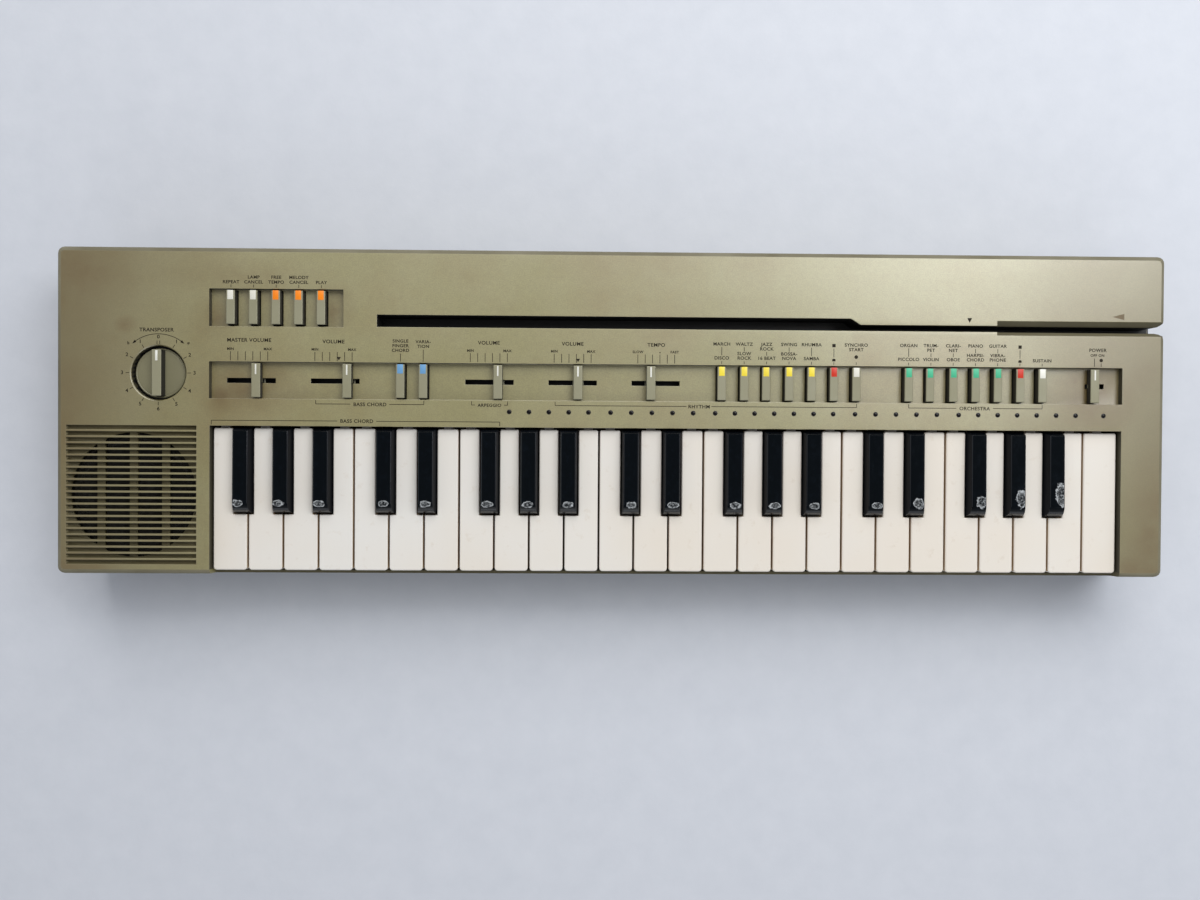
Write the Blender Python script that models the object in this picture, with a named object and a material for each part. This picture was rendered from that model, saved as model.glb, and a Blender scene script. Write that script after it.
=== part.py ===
"""Portable mini-key keyboard: champagne-coloured housing, 44 keys, card slot,
transposer dial, six sliders and three banks of push buttons.

Frame: +X to the player's right, +Y to the rear, +Z up, origin on the table
under the middle of the case. Lengths are in metres.
"""
import math

import bmesh
import bpy
from mathutils import Matrix, Vector

mm = 0.001

# Case
PANEL_WIDTH = 597.0 * mm        # outline of the top panel, left to right
PANEL_DEPTH = 174.8 * mm        # outline of the top panel, front to rear
CASE_HEIGHT = 50.0 * mm         # underside of the case to the panel
FOOT_HEIGHT = 2.0 * mm
FOOT_RADIUS = 7.0 * mm
FOOT_EDGE_MARGIN = 19.0 * mm    # foot centre to the case side
SPLIT_HEIGHT = 18.0 * mm        # underside of the case to the seam
WALL_DRAFT = 1.5 * mm           # how far the upper walls lean out, panel to seam
CORNER_RADIUS = 4.5 * mm
PANEL_FILLET = 2.4 * mm
BASE_FILLET = 3.2 * mm
UPPER_WALL = 2.5 * mm
PANEL_THICKNESS = 2.5 * mm
LOWER_WALL = 3.4 * mm
FLOOR_THICKNESS = 2.5 * mm
SEAM_STEP = 0.5 * mm            # lower shell stands this far inside the upper one
TONGUE_HEIGHT = 2.0 * mm
TONGUE_THICKNESS = 1.2 * mm
SEAT_GAP = 0.3 * mm             # clearance where one piece rests on another

# Keyboard
WHITE_COUNT = 26
WHITE_NOTES = "FGABCDE"         # notes of the white keys, repeated from the left
LEFT_BLOCK_WIDTH = 81.2 * mm    # case side to the key opening
RIGHT_BLOCK_WIDTH = 23.6 * mm
KEY_GAP = 1.0 * mm
OPENING_SIDE_GAP = 0.9 * mm     # outer key side to the block beside it
OPENING_REAR = -7.9 * mm        # front edge of the control panel over the keys
KEY_TOP_DROP = 3.0 * mm         # white key tops below the panel
KEY_FRONT_SETBACK = 1.9 * mm    # key fronts behind the panel outline's front
KEY_REAR_GAP = 1.0 * mm
WHITE_HEIGHT = 9.0 * mm
WHITE_EDGE = 0.5 * mm
WHITE_FRONT_RADIUS = 1.6 * mm
WHITE_REAR_RADIUS = 0.7 * mm
KEY_SHELL_SIDE = 1.5 * mm
BLACK_SHELL_TOP = 2.5 * mm      # plate over the hollow underside
BLACK_SLOT_WIDTH = 11.0 * mm
BLACK_WIDTH = 9.8 * mm
BLACK_TOP_WIDTH = 7.9 * mm
BLACK_LENGTH = 45.8 * mm
BLACK_RISE = 5.5 * mm           # above the white key tops
BLACK_SKIRT = 7.0 * mm          # below the white key tops
BLACK_FRONT_SLOPE = 2.4 * mm
BLACK_FRONT_ROUND = 3.4 * mm
BLACK_EDGE = 0.8 * mm
BLACK_CUT_FRONT_GAP = 0.8 * mm
KEY_ARM_INSET = 2.8 * mm        # arm section inside the key's rear face
KEY_ARM_LENGTH = 11.6 * mm
KEY_PIVOT_BACK = 1.5 * mm       # pivot in front of the arm's rear end
LIP_TOP_DROP = 9.0 * mm         # front lip below the panel
LIP_KEY_GAP = 0.45 * mm
BLOCK_WALL = 2.0 * mm           # walls of the blocks beside the keys
BLOCK_WALL_DEPTH = 26.0 * mm

# Key frame
FRAME_SIDE_GAP = 0.8 * mm
FRAME_BASE_HEIGHT = 28.0 * mm   # above the underside of the case
FRAME_PLATE = 2.0 * mm
RAIL_FRONT = 2.0 * mm           # pivot rail: in front of the pivot
RAIL_DEPTH = 6.0 * mm
RAIL_BACK_WALL = 1.8 * mm
RAIL_BACK_RISE = 3.0 * mm
STOP_DEPTH = 5.0 * mm
STOP_RISE = 2.2 * mm
CONTACT_STRIP_DEPTH = 12.0 * mm
CONTACT_STRIP_RISE = 2.4 * mm
CONTACT_STRIP_Y = -34.0 * mm
FRAME_POST_RADIUS = 4.0 * mm
FRAME_POST_SPACING_SHARE = 0.304754  # share of the key opening's width
FRAME_POST_Y = (-74.0 * mm, -4.0 * mm)

# Speaker and grille
GRILLE_INSET = 39.7 * mm        # case side to the middle of the grille
GRILLE_Y = -45.1 * mm
GRILLE_WIDTH = 68.8 * mm
SLOT_COUNT = 23
SLOT_PITCH = 3.275 * mm
SLOT_HEIGHT = 2.2 * mm
SLOT_DEPTH = 2.8 * mm
BAFFLE_THICKNESS = 1.8 * mm
BAFFLE_MARGIN = 2.0 * mm
SPEAKER_HOLE_RADIUS = 33.5 * mm
BAFFLE_RIB_WIDTH = 4.2 * mm
BAFFLE_RIB_SPACING = 17.2 * mm
BAR_SEAT = 0.25 * mm            # how far the speaker hole runs up into the slots
SPEAKER_RADIUS = 36.0 * mm
SPEAKER_FLANGE = 2.0 * mm
SPEAKER_CONE_RADIUS = 31.0 * mm
SPEAKER_CAP_RADIUS = 9.0 * mm
SPEAKER_CONE_DEPTH = 9.0 * mm
SPEAKER_BASKET_DEPTH = 12.0 * mm
SPEAKER_MAGNET_RADIUS = 20.0 * mm
SPEAKER_MAGNET_THICKNESS = 9.0 * mm

# Control rows. A share is a place across the key opening, from 0 at its left side to 1
# at its right side.
RECESS_DEPTH = 3.5 * mm
RECESS_FLOOR = 1.8 * mm
TRAY_MARGIN = 1.8 * mm
ROW_REAR = 26.4 * mm            # lower control row, rear and front edge
ROW_FRONT = 6.75 * mm
ROW_SIDE_MARGIN = 0.3 * mm      # row ends beyond the key opening's sides
CARD_ROW_REAR = 65.3 * mm
CARD_ROW_FRONT = 45.3 * mm
CARD_ROW_END_SHARE = 0.144047
CAP_WIDTH = 4.6 * mm
CAP_LENGTH = 18.0 * mm
CAP_RISE = 1.0 * mm             # cap tops above the panel
CAP_EDGE = 0.35 * mm
CAP_HOLE_CLEARANCE = 0.4 * mm
CAP_REAR_SETBACK = 0.9 * mm     # cap behind the recess's rear edge
BUTTON_PITCH = 12.15 * mm
CARD_BUTTON_PITCH = 12.0 * mm
CARD_BUTTON_COUNT = 5
CARD_BUTTON_SHARE = 0.071516  # middle of the card buttons
CHORD_BUTTON_COUNT = 2
CHORD_BUTTON_SHARE = 0.218610
BANK_BUTTON_COUNT = 7
RHYTHM_BANK_SHARE = 0.631044
VOICE_BANK_SHARE = 0.837058
RHYTHM_LATCHED = 2              # buttons that are locked down, counted from 0
VOICE_LATCHED = 1
LATCH_DEPTH = 1.5 * mm
CARRIER_THICKNESS = 2.5 * mm
CARRIER_DEPTH = 4.0 * mm

# Sliders
SLIDER_SLOT_LENGTH = 26.0 * mm
SLIDER_SLOT_WIDTH = 2.6 * mm
SLIDER_STEM_LENGTH = 5.0 * mm
SLIDER_STEM_GAP = 0.3 * mm
SLIDER_CAP_WIDTH = 4.8 * mm
SLIDER_CAP_LENGTH = 18.2 * mm
SLIDER_CAP_LIFT = 0.5 * mm      # underside of the cap above the recess floor
SLIDER_FOOT_WIDTH = 6.0 * mm
SLIDER_FOOT_LENGTH = 6.4 * mm
SLIDER_FOOT_THICKNESS = 2.4 * mm
SLIDERS = {
    # name: (slot middle, cap at rest to the right of it)
    "master_volume_slider": (0.042462, 3.8 * mm),
    "chord_volume_slider": (0.133685, 7.3 * mm),
    "arpeggio_volume_slider": (0.302316, 4.9 * mm),
    "rhythm_volume_slider": (0.393742, 2.9 * mm),
    "tempo_slider": (0.485169, -2.8 * mm),
}
POWER_SLOT_SHARE = 0.973182
POWER_SLOT_LENGTH = 10.4 * mm
POWER_CAP_OFFSET = -1.9 * mm

# Transposer dial
DIAL_INSET = 54.0 * mm          # case side to the middle of the dial
DIAL_Y = 20.1 * mm
DIAL_WELL_RADIUS = 14.5 * mm
DIAL_WELL_DEPTH = 5.6 * mm
DIAL_WELL_CHAMFER = 0.6 * mm
DIAL_WELL_WALL = 1.8 * mm
DIAL_DISC_RADIUS = 13.4 * mm
DIAL_DISC_THICKNESS = 2.6 * mm
DIAL_GRIP_WIDTH = 5.0 * mm
DIAL_GRIP_RISE = 2.4 * mm       # above the panel
DIAL_GRIP_EDGE = 0.5 * mm
DIAL_SHAFT_RADIUS = 3.0 * mm
DIAL_SHAFT_CLEARANCE = 0.4 * mm

# Card slot
SLOT_FRONT_WALL = 45.6 * mm
CARD_SLOT_WIDE = 6.5 * mm
CARD_SLOT_NARROW = 3.2 * mm
CARD_SLOT_DEPTH = 16.5 * mm
CARD_SLOT_LEFT_SHARE = 0.180618
CARD_SLOT_STEP_SHARE = 0.699106  # wide part ends here
CARD_SLOT_STEP_RUN = 5.2 * mm
CARD_SLOT_FLARE_SHARE = 0.861032  # chamfered lips begin here
CARD_LIP_REAR = 2.7 * mm
CARD_LIP_FRONT = 1.9 * mm
CARD_END_RADIUS = 5.0 * mm
CARD_TROUGH_WALL = 1.6 * mm

# Battery compartment
BATTERY_SHARE = 0.421170
BATTERY_WIDTH = 156.0 * mm
BATTERY_FRONT = 25.0 * mm
BATTERY_DEPTH = 54.0 * mm
BATTERY_HEIGHT = 27.0 * mm      # above the case floor
BATTERY_WALL = 1.5 * mm
COVER_THICKNESS = 2.2 * mm
COVER_LIP_HEIGHT = 9.0 * mm
COVER_LIP_THICKNESS = 2.0 * mm
COVER_TONGUE = 1.6 * mm
COVER_TONGUE_THICKNESS = 1.0 * mm
COVER_GRIP_COUNT = 6
COVER_GRIP_WIDTH = 1.6 * mm
COVER_GRIP_LENGTH = 26.0 * mm
COVER_GRIP_DEPTH = 0.7 * mm
COVER_GRIP_PITCH = 3.4 * mm

# Main board
BOARD_HEIGHT = 34.0 * mm        # above the underside of the case
BOARD_THICKNESS = 1.6 * mm
BOARD_FRONT = 6.4 * mm
BOARD_REAR = 41.0 * mm
BOARD_LEFT_INSET = 34.5 * mm    # from the case side
BOARD_RIGHT_INSET = 22.5 * mm
BOARD_WING_RIGHT_SHARE = 0.169240
BOARD_WING_REAR = 82.0 * mm
SWITCH_DEPTH = 7.0 * mm
POT_DEPTH = 8.0 * mm
POT_OVERHANG = 6.0 * mm
DIAL_SWITCH_SIZE = 18.0 * mm
CHIP_THICKNESS = 4.0 * mm
JACK_BORE_RADIUS = 3.2 * mm
JACK_BLOCK_WIDTH = 12.0 * mm
JACK_BLOCK_HEIGHT = 12.0 * mm
JACK_BLOCK_DEPTH = 15.0 * mm
JACK_BORE_DEPTH = 13.0 * mm
JACK_PANEL_CLEARANCE = 0.8 * mm
JACK_SHARES = (0.022958, 0.067655)
POWER_INLET_SHARE = 0.116416
POWER_INLET_RADIUS = 2.9 * mm
POWER_PIN_RADIUS = 1.0 * mm

# Bosses and screws
BOSS_RADIUS = 3.6 * mm
SCREW_HEAD_RADIUS = 2.8 * mm
SCREW_SHANK_RADIUS = 1.5 * mm
SCREW_SHELF = 5.0 * mm          # screw head's seat above the underside
LEFT_SCREWS = (
    # (from the left side, y)
    (8.0 * mm, -79.0 * mm), (73.0 * mm, -80.0 * mm), (7.5 * mm, 3.0 * mm),
    (9.5 * mm, 78.0 * mm),
)
RIGHT_SCREWS = (
    # (from the right side, y)
    (13.0 * mm, -79.0 * mm), (13.0 * mm, 0.0), (11.5 * mm, 78.0 * mm),
)
REAR_SCREWS = ((0.213937, 79.0 * mm), (0.664974, 79.0 * mm))
BOARD_BOSSES = (
    (-0.007517, 35.0 * mm), (0.183462, 34.0 * mm), (0.356156, 34.0 * mm),
    (0.539009, 34.0 * mm), (0.733035, 34.0 * mm), (0.937221, 34.0 * mm),
    (0.004673, 76.0 * mm),
)
BOARD_BOSS_RADIUS = 2.6 * mm

# Roundness of turned shapes
ROUND_STEPS = 24
FINE_STEPS = 40
CORNER_STEPS = 4

# Heights and places that follow from the sizes above
base_z = FOOT_HEIGHT
panel_z = FOOT_HEIGHT + CASE_HEIGHT
seam_z = FOOT_HEIGHT + SPLIT_HEIGHT
recess_z = panel_z - RECESS_DEPTH
tray_z = recess_z - RECESS_FLOOR
key_z = panel_z - KEY_TOP_DROP
floor_z = base_z + FLOOR_THICKNESS
half_width = PANEL_WIDTH / 2
half_depth = PANEL_DEPTH / 2
key_front = -half_depth + KEY_FRONT_SETBACK
key_rear = OPENING_REAR - KEY_REAR_GAP
opening_left = -half_width + LEFT_BLOCK_WIDTH
opening_right = half_width - RIGHT_BLOCK_WIDTH
opening_width = opening_right - opening_left
key_pitch = (opening_width - 2 * OPENING_SIDE_GAP + KEY_GAP) / WHITE_COUNT
keys_left = opening_left + OPENING_SIDE_GAP - KEY_GAP / 2
row_left = opening_left - ROW_SIDE_MARGIN
row_right = opening_right + ROW_SIDE_MARGIN
black_front = key_rear - BLACK_LENGTH
arm_z = key_z - (WHITE_HEIGHT + WHITE_EDGE) / 2
pivot_y = key_rear + KEY_ARM_LENGTH - KEY_PIVOT_BACK
cap_top = panel_z + CAP_RISE
board_z = base_z + BOARD_HEIGHT
board_top = board_z + BOARD_THICKNESS
slot_rear_wide = SLOT_FRONT_WALL + CARD_SLOT_WIDE
slot_rear_narrow = SLOT_FRONT_WALL + CARD_SLOT_NARROW
slot_floor_z = panel_z - CARD_SLOT_DEPTH
jack_z = board_z - JACK_BLOCK_HEIGHT / 2


def across(share):
    """Place across the case at a share of the key opening's width."""
    return opening_left + share * opening_width


grille_centre = (-half_width + GRILLE_INSET, GRILLE_Y)
dial_x = -half_width + DIAL_INSET
card_row_end = across(CARD_ROW_END_SHARE)
slider_places = {name: (across(place), across(place) + offset)
                 for name, (place, offset) in SLIDERS.items()}
power_slot_x = across(POWER_SLOT_SHARE)
card_slot_left = across(CARD_SLOT_LEFT_SHARE)
card_slot_step = across(CARD_SLOT_STEP_SHARE)
card_slot_flare = across(CARD_SLOT_FLARE_SHARE)
battery_x = across(BATTERY_SHARE)
board_left = -half_width + BOARD_LEFT_INSET
board_right = half_width - BOARD_RIGHT_INSET
board_wing_right = across(BOARD_WING_RIGHT_SHARE)
jack_xs = [across(place) for place in JACK_SHARES]
power_inlet_x = across(POWER_INLET_SHARE)
case_screws = [(-half_width + inset, y) for inset, y in LEFT_SCREWS]
case_screws += [(half_width - inset, y) for inset, y in RIGHT_SCREWS]
case_screws += [(across(place), y) for place, y in REAR_SCREWS]
board_bosses = [(across(place), y) for place, y in BOARD_BOSSES]


# Materials and small helpers

def make_material(name, colour, roughness, metallic=0.0):
    material = bpy.data.materials.new(name)
    material.use_nodes = True
    shader = material.node_tree.nodes["Principled BSDF"]
    shader.inputs["Base Color"].default_value = (*colour, 1.0)
    shader.inputs["Roughness"].default_value = roughness
    shader.inputs["Metallic"].default_value = metallic
    return material


def make_object(name, bm, material=None, pivot=(0.0, 0.0, 0.0), smooth=False):
    """Turn a bmesh in world places into an object whose origin is the pivot."""
    bmesh.ops.recalc_face_normals(bm, faces=bm.faces)
    bmesh.ops.translate(bm, verts=bm.verts, vec=-Vector(pivot))
    mesh = bpy.data.meshes.new(name)
    bm.to_mesh(mesh)
    bm.free()
    item = bpy.data.objects.new(name, mesh)
    item.location = pivot
    bpy.context.scene.collection.objects.link(item)
    if material:
        mesh.materials.append(material)
    if smooth:
        mesh.shade_smooth()
        mesh.set_sharp_from_angle(angle=math.radians(35))
    bpy.context.view_layer.update()
    return item


def combine(target, bm, operation):
    """Add a bmesh to an object, or cut it away."""
    tool = make_object("tool", bm)
    tool.location = Vector((0.0, 0.0, 0.0))
    modifier = target.modifiers.new(operation.lower(), "BOOLEAN")
    modifier.operation = operation
    modifier.solver = "EXACT"
    modifier.object = tool
    bpy.context.view_layer.update()
    graph = bpy.context.evaluated_depsgraph_get()
    result = bpy.data.meshes.new_from_object(target.evaluated_get(graph))
    target.modifiers.clear()
    old = target.data
    target.data = result
    bpy.data.meshes.remove(old)
    tool_mesh = tool.data
    bpy.data.objects.remove(tool)
    bpy.data.meshes.remove(tool_mesh)


def add_box(bm, low, high):
    size = Vector(high) - Vector(low)
    middle = (Vector(high) + Vector(low)) / 2
    matrix = Matrix.Translation(middle) @ Matrix.Diagonal((*size, 1.0))
    return bmesh.ops.create_cube(bm, size=1.0, matrix=matrix)["verts"]


def add_cylinder(bm, centre, radius, low, high, steps=ROUND_STEPS, top_radius=None):
    """Upright cylinder or cone between two heights."""
    matrix = Matrix.Translation((centre[0], centre[1], (low + high) / 2))
    bmesh.ops.create_cone(
        bm, cap_ends=True, segments=steps, radius1=radius,
        radius2=radius if top_radius is None else top_radius, depth=high - low, matrix=matrix,
    )


def add_bore(bm, x, z, radius, front, rear, steps=16):
    """Cylinder that runs along Y."""
    turn = Matrix.Rotation(math.radians(90), 4, "X")
    matrix = Matrix.Translation((x, (front + rear) / 2, z)) @ turn
    bmesh.ops.create_cone(
        bm, cap_ends=True, segments=steps, radius1=radius, radius2=radius,
        depth=rear - front, matrix=matrix,
    )


def add_prism(bm, outline, low, high):
    """Solid of an outline in plan, between two heights."""
    face = bm.faces.new([bm.verts.new((x, y, low)) for x, y in outline])
    extruded = bmesh.ops.extrude_face_region(bm, geom=[face])
    moved = [item for item in extruded["geom"] if isinstance(item, bmesh.types.BMVert)]
    bmesh.ops.translate(bm, verts=moved, vec=(0.0, 0.0, high - low))


def arc(centre, radius, start, end, steps):
    """Points on a circle, angles in degrees."""
    points = []
    for step in range(steps + 1):
        angle = math.radians(start + (end - start) * step / steps)
        points.append((centre[0] + radius * math.cos(angle), centre[1] + radius * math.sin(angle)))
    return points


def rounded_rectangle(inset):
    """Case outline at the seam, drawn in by an inset."""
    x = half_width + WALL_DRAFT - inset
    y = half_depth + WALL_DRAFT - inset
    radius = max(CORNER_RADIUS - 0.6 * inset, 1.0 * mm)
    points = []
    for side_x, side_y, start in ((1, 1, 0), (-1, 1, 90), (-1, -1, 180), (1, -1, 270)):
        centre = (side_x * (x - radius), side_y * (y - radius))
        points += arc(centre, radius, start, start + 90, CORNER_STEPS)
    return points


def loft(bm, rings):
    """Closed solid through rings of (height, inset), capped at both ends."""
    loops = []
    for height, inset in rings:
        loops.append([bm.verts.new((x, y, height)) for x, y in rounded_rectangle(inset)])
    for lower, upper in zip(loops, loops[1:]):
        count = len(lower)
        for index in range(count):
            after = (index + 1) % count
            bm.faces.new((lower[index], lower[after], upper[after], upper[index]))
    bm.faces.new(loops[0])
    bm.faces.new(loops[-1])


def centred_row(middle, pitch, count):
    return [middle + (index - (count - 1) / 2) * pitch for index in range(count)]


# Housing

def upper_shell_rings():
    wall_top = panel_z - PANEL_FILLET
    rings = [
        (panel_z - PANEL_THICKNESS, WALL_DRAFT + UPPER_WALL),
        (seam_z + SEAT_GAP, UPPER_WALL),
        (seam_z + SEAT_GAP, 0.0),
        (wall_top, WALL_DRAFT),
    ]
    for angle in (30, 60, 90):
        turn = math.radians(angle)
        inset = WALL_DRAFT + PANEL_FILLET * (1 - math.cos(turn))
        rings.append((wall_top + PANEL_FILLET * math.sin(turn), inset))
    return rings


def add_upper_trays(case):
    """Floors under the recesses, the dial well, the card slot and the grille."""
    roof = panel_z - PANEL_THICKNESS / 2
    trays = bmesh.new()
    add_box(trays, (row_left - TRAY_MARGIN, ROW_FRONT - TRAY_MARGIN, tray_z),
            (row_right + TRAY_MARGIN, ROW_REAR + TRAY_MARGIN, roof))
    add_box(trays, (row_left - TRAY_MARGIN, CARD_ROW_FRONT - TRAY_MARGIN, tray_z),
            (card_row_end + TRAY_MARGIN, CARD_ROW_REAR + TRAY_MARGIN, roof))
    add_box(trays, (card_slot_left - CARD_TROUGH_WALL, SLOT_FRONT_WALL - CARD_TROUGH_WALL,
                    slot_floor_z - CARD_TROUGH_WALL),
            (half_width - UPPER_WALL / 2, slot_rear_wide + CARD_TROUGH_WALL, roof))
    grille_half = (SLOT_COUNT * SLOT_PITCH) / 2 + BAFFLE_MARGIN
    add_box(trays, (grille_centre[0] - GRILLE_WIDTH / 2 - BAFFLE_MARGIN,
                    grille_centre[1] - grille_half,
                    panel_z - SLOT_DEPTH - BAFFLE_THICKNESS),
            (grille_centre[0] + GRILLE_WIDTH / 2 + BAFFLE_MARGIN,
             grille_centre[1] + grille_half, roof))
    combine(case, trays, "UNION")
    well = bmesh.new()
    add_cylinder(well, (dial_x, DIAL_Y), DIAL_WELL_RADIUS + DIAL_WELL_WALL,
                 panel_z - DIAL_WELL_DEPTH - RECESS_FLOOR, roof, FINE_STEPS)
    combine(case, well, "UNION")


def add_upper_walls(case):
    """Walls of the blocks beside the keys."""
    walls = bmesh.new()
    foot = panel_z - BLOCK_WALL_DEPTH
    roof = panel_z - PANEL_THICKNESS / 2
    front = -half_depth + UPPER_WALL / 2
    rear = OPENING_REAR + BLOCK_WALL
    add_box(walls, (opening_left - BLOCK_WALL, front, foot), (opening_left, rear, roof))
    add_box(walls, (opening_right, front, foot), (opening_right + BLOCK_WALL, rear, roof))
    combine(case, walls, "UNION")


def add_upper_bosses(case):
    bosses = bmesh.new()
    roof = panel_z - PANEL_THICKNESS / 2
    for centre in case_screws:
        add_cylinder(bosses, centre, BOSS_RADIUS, seam_z + SEAT_GAP, roof, 12)
    for centre in board_bosses:
        add_cylinder(bosses, centre, BOARD_BOSS_RADIUS, board_top + SEAT_GAP, roof, 10)
    combine(case, bosses, "UNION")


def cut_key_opening(case):
    """Opening over the keys, with the case front lowered to a lip."""
    opening = bmesh.new()
    beyond = -half_depth - 10 * mm
    lip_inner = key_front - LIP_KEY_GAP
    add_box(opening, (opening_left, lip_inner, seam_z - 1 * mm),
            (opening_right, OPENING_REAR, panel_z + 1 * mm))
    combine(case, opening, "DIFFERENCE")
    front = bmesh.new()
    add_box(front, (opening_left, beyond, panel_z - LIP_TOP_DROP),
            (opening_right, lip_inner + 1 * mm, panel_z + 1 * mm))
    combine(case, front, "DIFFERENCE")


def cut_recesses(case):
    recesses = bmesh.new()
    above = panel_z + 1 * mm
    add_box(recesses, (row_left, ROW_FRONT, recess_z), (row_right, ROW_REAR, above))
    add_box(recesses, (row_left, CARD_ROW_FRONT, recess_z),
            (card_row_end, CARD_ROW_REAR, above))
    combine(case, recesses, "DIFFERENCE")


def button_places():
    """Middle of every button, as (x, rear edge of its row)."""
    card = centred_row(across(CARD_BUTTON_SHARE), CARD_BUTTON_PITCH, CARD_BUTTON_COUNT)
    chord = centred_row(across(CHORD_BUTTON_SHARE), BUTTON_PITCH, CHORD_BUTTON_COUNT)
    rhythm = centred_row(across(RHYTHM_BANK_SHARE), BUTTON_PITCH, BANK_BUTTON_COUNT)
    voice = centred_row(across(VOICE_BANK_SHARE), BUTTON_PITCH, BANK_BUTTON_COUNT)
    return card, chord, rhythm, voice


def cut_control_holes(case):
    """Button holes and slider slots through the recess floors."""
    holes = bmesh.new()
    low = tray_z - 1 * mm
    high = recess_z + 1 * mm
    card, chord, rhythm, voice = button_places()
    reach = CAP_WIDTH / 2 + CAP_HOLE_CLEARANCE
    for xs, row_rear in ((card, CARD_ROW_REAR), (chord + rhythm + voice, ROW_REAR)):
        rear = row_rear - CAP_REAR_SETBACK
        for x in xs:
            add_box(holes, (x - reach, rear - CAP_LENGTH - CAP_HOLE_CLEARANCE, low),
                    (x + reach, rear + CAP_HOLE_CLEARANCE, high))
    slots = [(middle, SLIDER_SLOT_LENGTH) for middle, _ in slider_places.values()]
    slots.append((power_slot_x, POWER_SLOT_LENGTH))
    slot_y = (ROW_FRONT + ROW_REAR) / 2
    for middle, length in slots:
        add_box(holes, (middle - length / 2, slot_y - SLIDER_SLOT_WIDTH / 2, low),
                (middle + length / 2, slot_y + SLIDER_SLOT_WIDTH / 2, high))
    combine(case, holes, "DIFFERENCE")


def cut_dial_well(case):
    well = bmesh.new()
    centre = (dial_x, DIAL_Y)
    add_cylinder(well, centre, DIAL_WELL_RADIUS, panel_z - DIAL_WELL_DEPTH,
                 panel_z + 1 * mm, FINE_STEPS)
    combine(case, well, "DIFFERENCE")
    rim = bmesh.new()
    add_cylinder(rim, centre, DIAL_WELL_RADIUS - DIAL_WELL_CHAMFER,
                 panel_z - 2 * DIAL_WELL_CHAMFER, panel_z + DIAL_WELL_CHAMFER, FINE_STEPS,
                 DIAL_WELL_RADIUS + 2 * DIAL_WELL_CHAMFER)
    combine(case, rim, "DIFFERENCE")
    hole = bmesh.new()
    add_cylinder(hole, centre, DIAL_SHAFT_RADIUS + DIAL_SHAFT_CLEARANCE,
                 panel_z - DIAL_WELL_DEPTH - 2 * RECESS_FLOOR, panel_z, ROUND_STEPS)
    combine(case, hole, "DIFFERENCE")


def cut_card_slot(case):
    """Slot in plan: wide, then a slanted step, then narrow and out at the right."""
    beyond = half_width + WALL_DRAFT + 2 * mm
    end = half_width
    radius = CARD_END_RADIUS
    rear_round = arc((end - radius, slot_rear_narrow + radius), radius, -90, 0, 4)
    front_round = arc((end - radius, SLOT_FRONT_WALL - radius), radius, 0, 90, 4)
    outline = [(card_slot_left, SLOT_FRONT_WALL)]
    outline += reversed(front_round)
    outline += [(beyond, SLOT_FRONT_WALL - radius), (beyond, slot_rear_narrow + radius)]
    outline += reversed(rear_round)
    outline += [(card_slot_step + CARD_SLOT_STEP_RUN, slot_rear_narrow),
                (card_slot_step, slot_rear_wide),
                (card_slot_left, slot_rear_wide)]
    slot = bmesh.new()
    add_prism(slot, outline, slot_floor_z, panel_z + 1 * mm)
    combine(case, slot, "DIFFERENCE")
    # slanted lips beside the flared part
    lips = bmesh.new()
    lift = 1 * mm
    section = [
        (slot_rear_narrow, panel_z - CARD_LIP_REAR),
        (slot_rear_narrow + CARD_LIP_REAR + lift, panel_z + lift),
        (SLOT_FRONT_WALL - CARD_LIP_FRONT - lift, panel_z + lift),
        (SLOT_FRONT_WALL, panel_z - CARD_LIP_FRONT),
    ]
    loop = [lips.verts.new((card_slot_flare, y, z)) for y, z in section]
    face = lips.faces.new(loop)
    extruded = bmesh.ops.extrude_face_region(lips, geom=[face])
    moved = [item for item in extruded["geom"] if isinstance(item, bmesh.types.BMVert)]
    bmesh.ops.translate(lips, verts=moved, vec=(beyond - card_slot_flare, 0.0, 0.0))
    combine(case, lips, "DIFFERENCE")


def cut_grille(case):
    slots = bmesh.new()
    x, y = grille_centre
    for slot_y in centred_row(y, SLOT_PITCH, SLOT_COUNT):
        add_box(slots, (x - GRILLE_WIDTH / 2, slot_y - SLOT_HEIGHT / 2, panel_z - SLOT_DEPTH),
                (x + GRILLE_WIDTH / 2, slot_y + SLOT_HEIGHT / 2, panel_z + 1 * mm))
    combine(case, slots, "DIFFERENCE")
    hole = bmesh.new()
    low = panel_z - SLOT_DEPTH - 2 * BAFFLE_THICKNESS
    high = panel_z - SLOT_DEPTH + BAR_SEAT
    add_cylinder(hole, grille_centre, SPEAKER_HOLE_RADIUS, low, high, 48)
    cutter = make_object("speaker_hole_cutter", hole)
    ribs = bmesh.new()
    for rib_x in centred_row(x, BAFFLE_RIB_SPACING, 3):
        add_box(ribs, (rib_x - BAFFLE_RIB_WIDTH / 2, y - 2 * SPEAKER_HOLE_RADIUS, low - 1 * mm),
                (rib_x + BAFFLE_RIB_WIDTH / 2, y + 2 * SPEAKER_HOLE_RADIUS, high + 1 * mm))
    combine(cutter, ribs, "DIFFERENCE")
    segments = bmesh.new()
    segments.from_mesh(cutter.data)
    bpy.data.objects.remove(cutter)
    combine(case, segments, "DIFFERENCE")


def cut_rear_sockets(case):
    holes = bmesh.new()
    inner = half_depth - 4 * UPPER_WALL
    outer = half_depth + 4 * UPPER_WALL
    for x in jack_xs:
        add_bore(holes, x, jack_z, JACK_BORE_RADIUS + JACK_PANEL_CLEARANCE, inner, outer)
    add_bore(holes, power_inlet_x, jack_z, POWER_INLET_RADIUS + JACK_PANEL_CLEARANCE,
             inner, outer)
    combine(case, holes, "DIFFERENCE")


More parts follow.
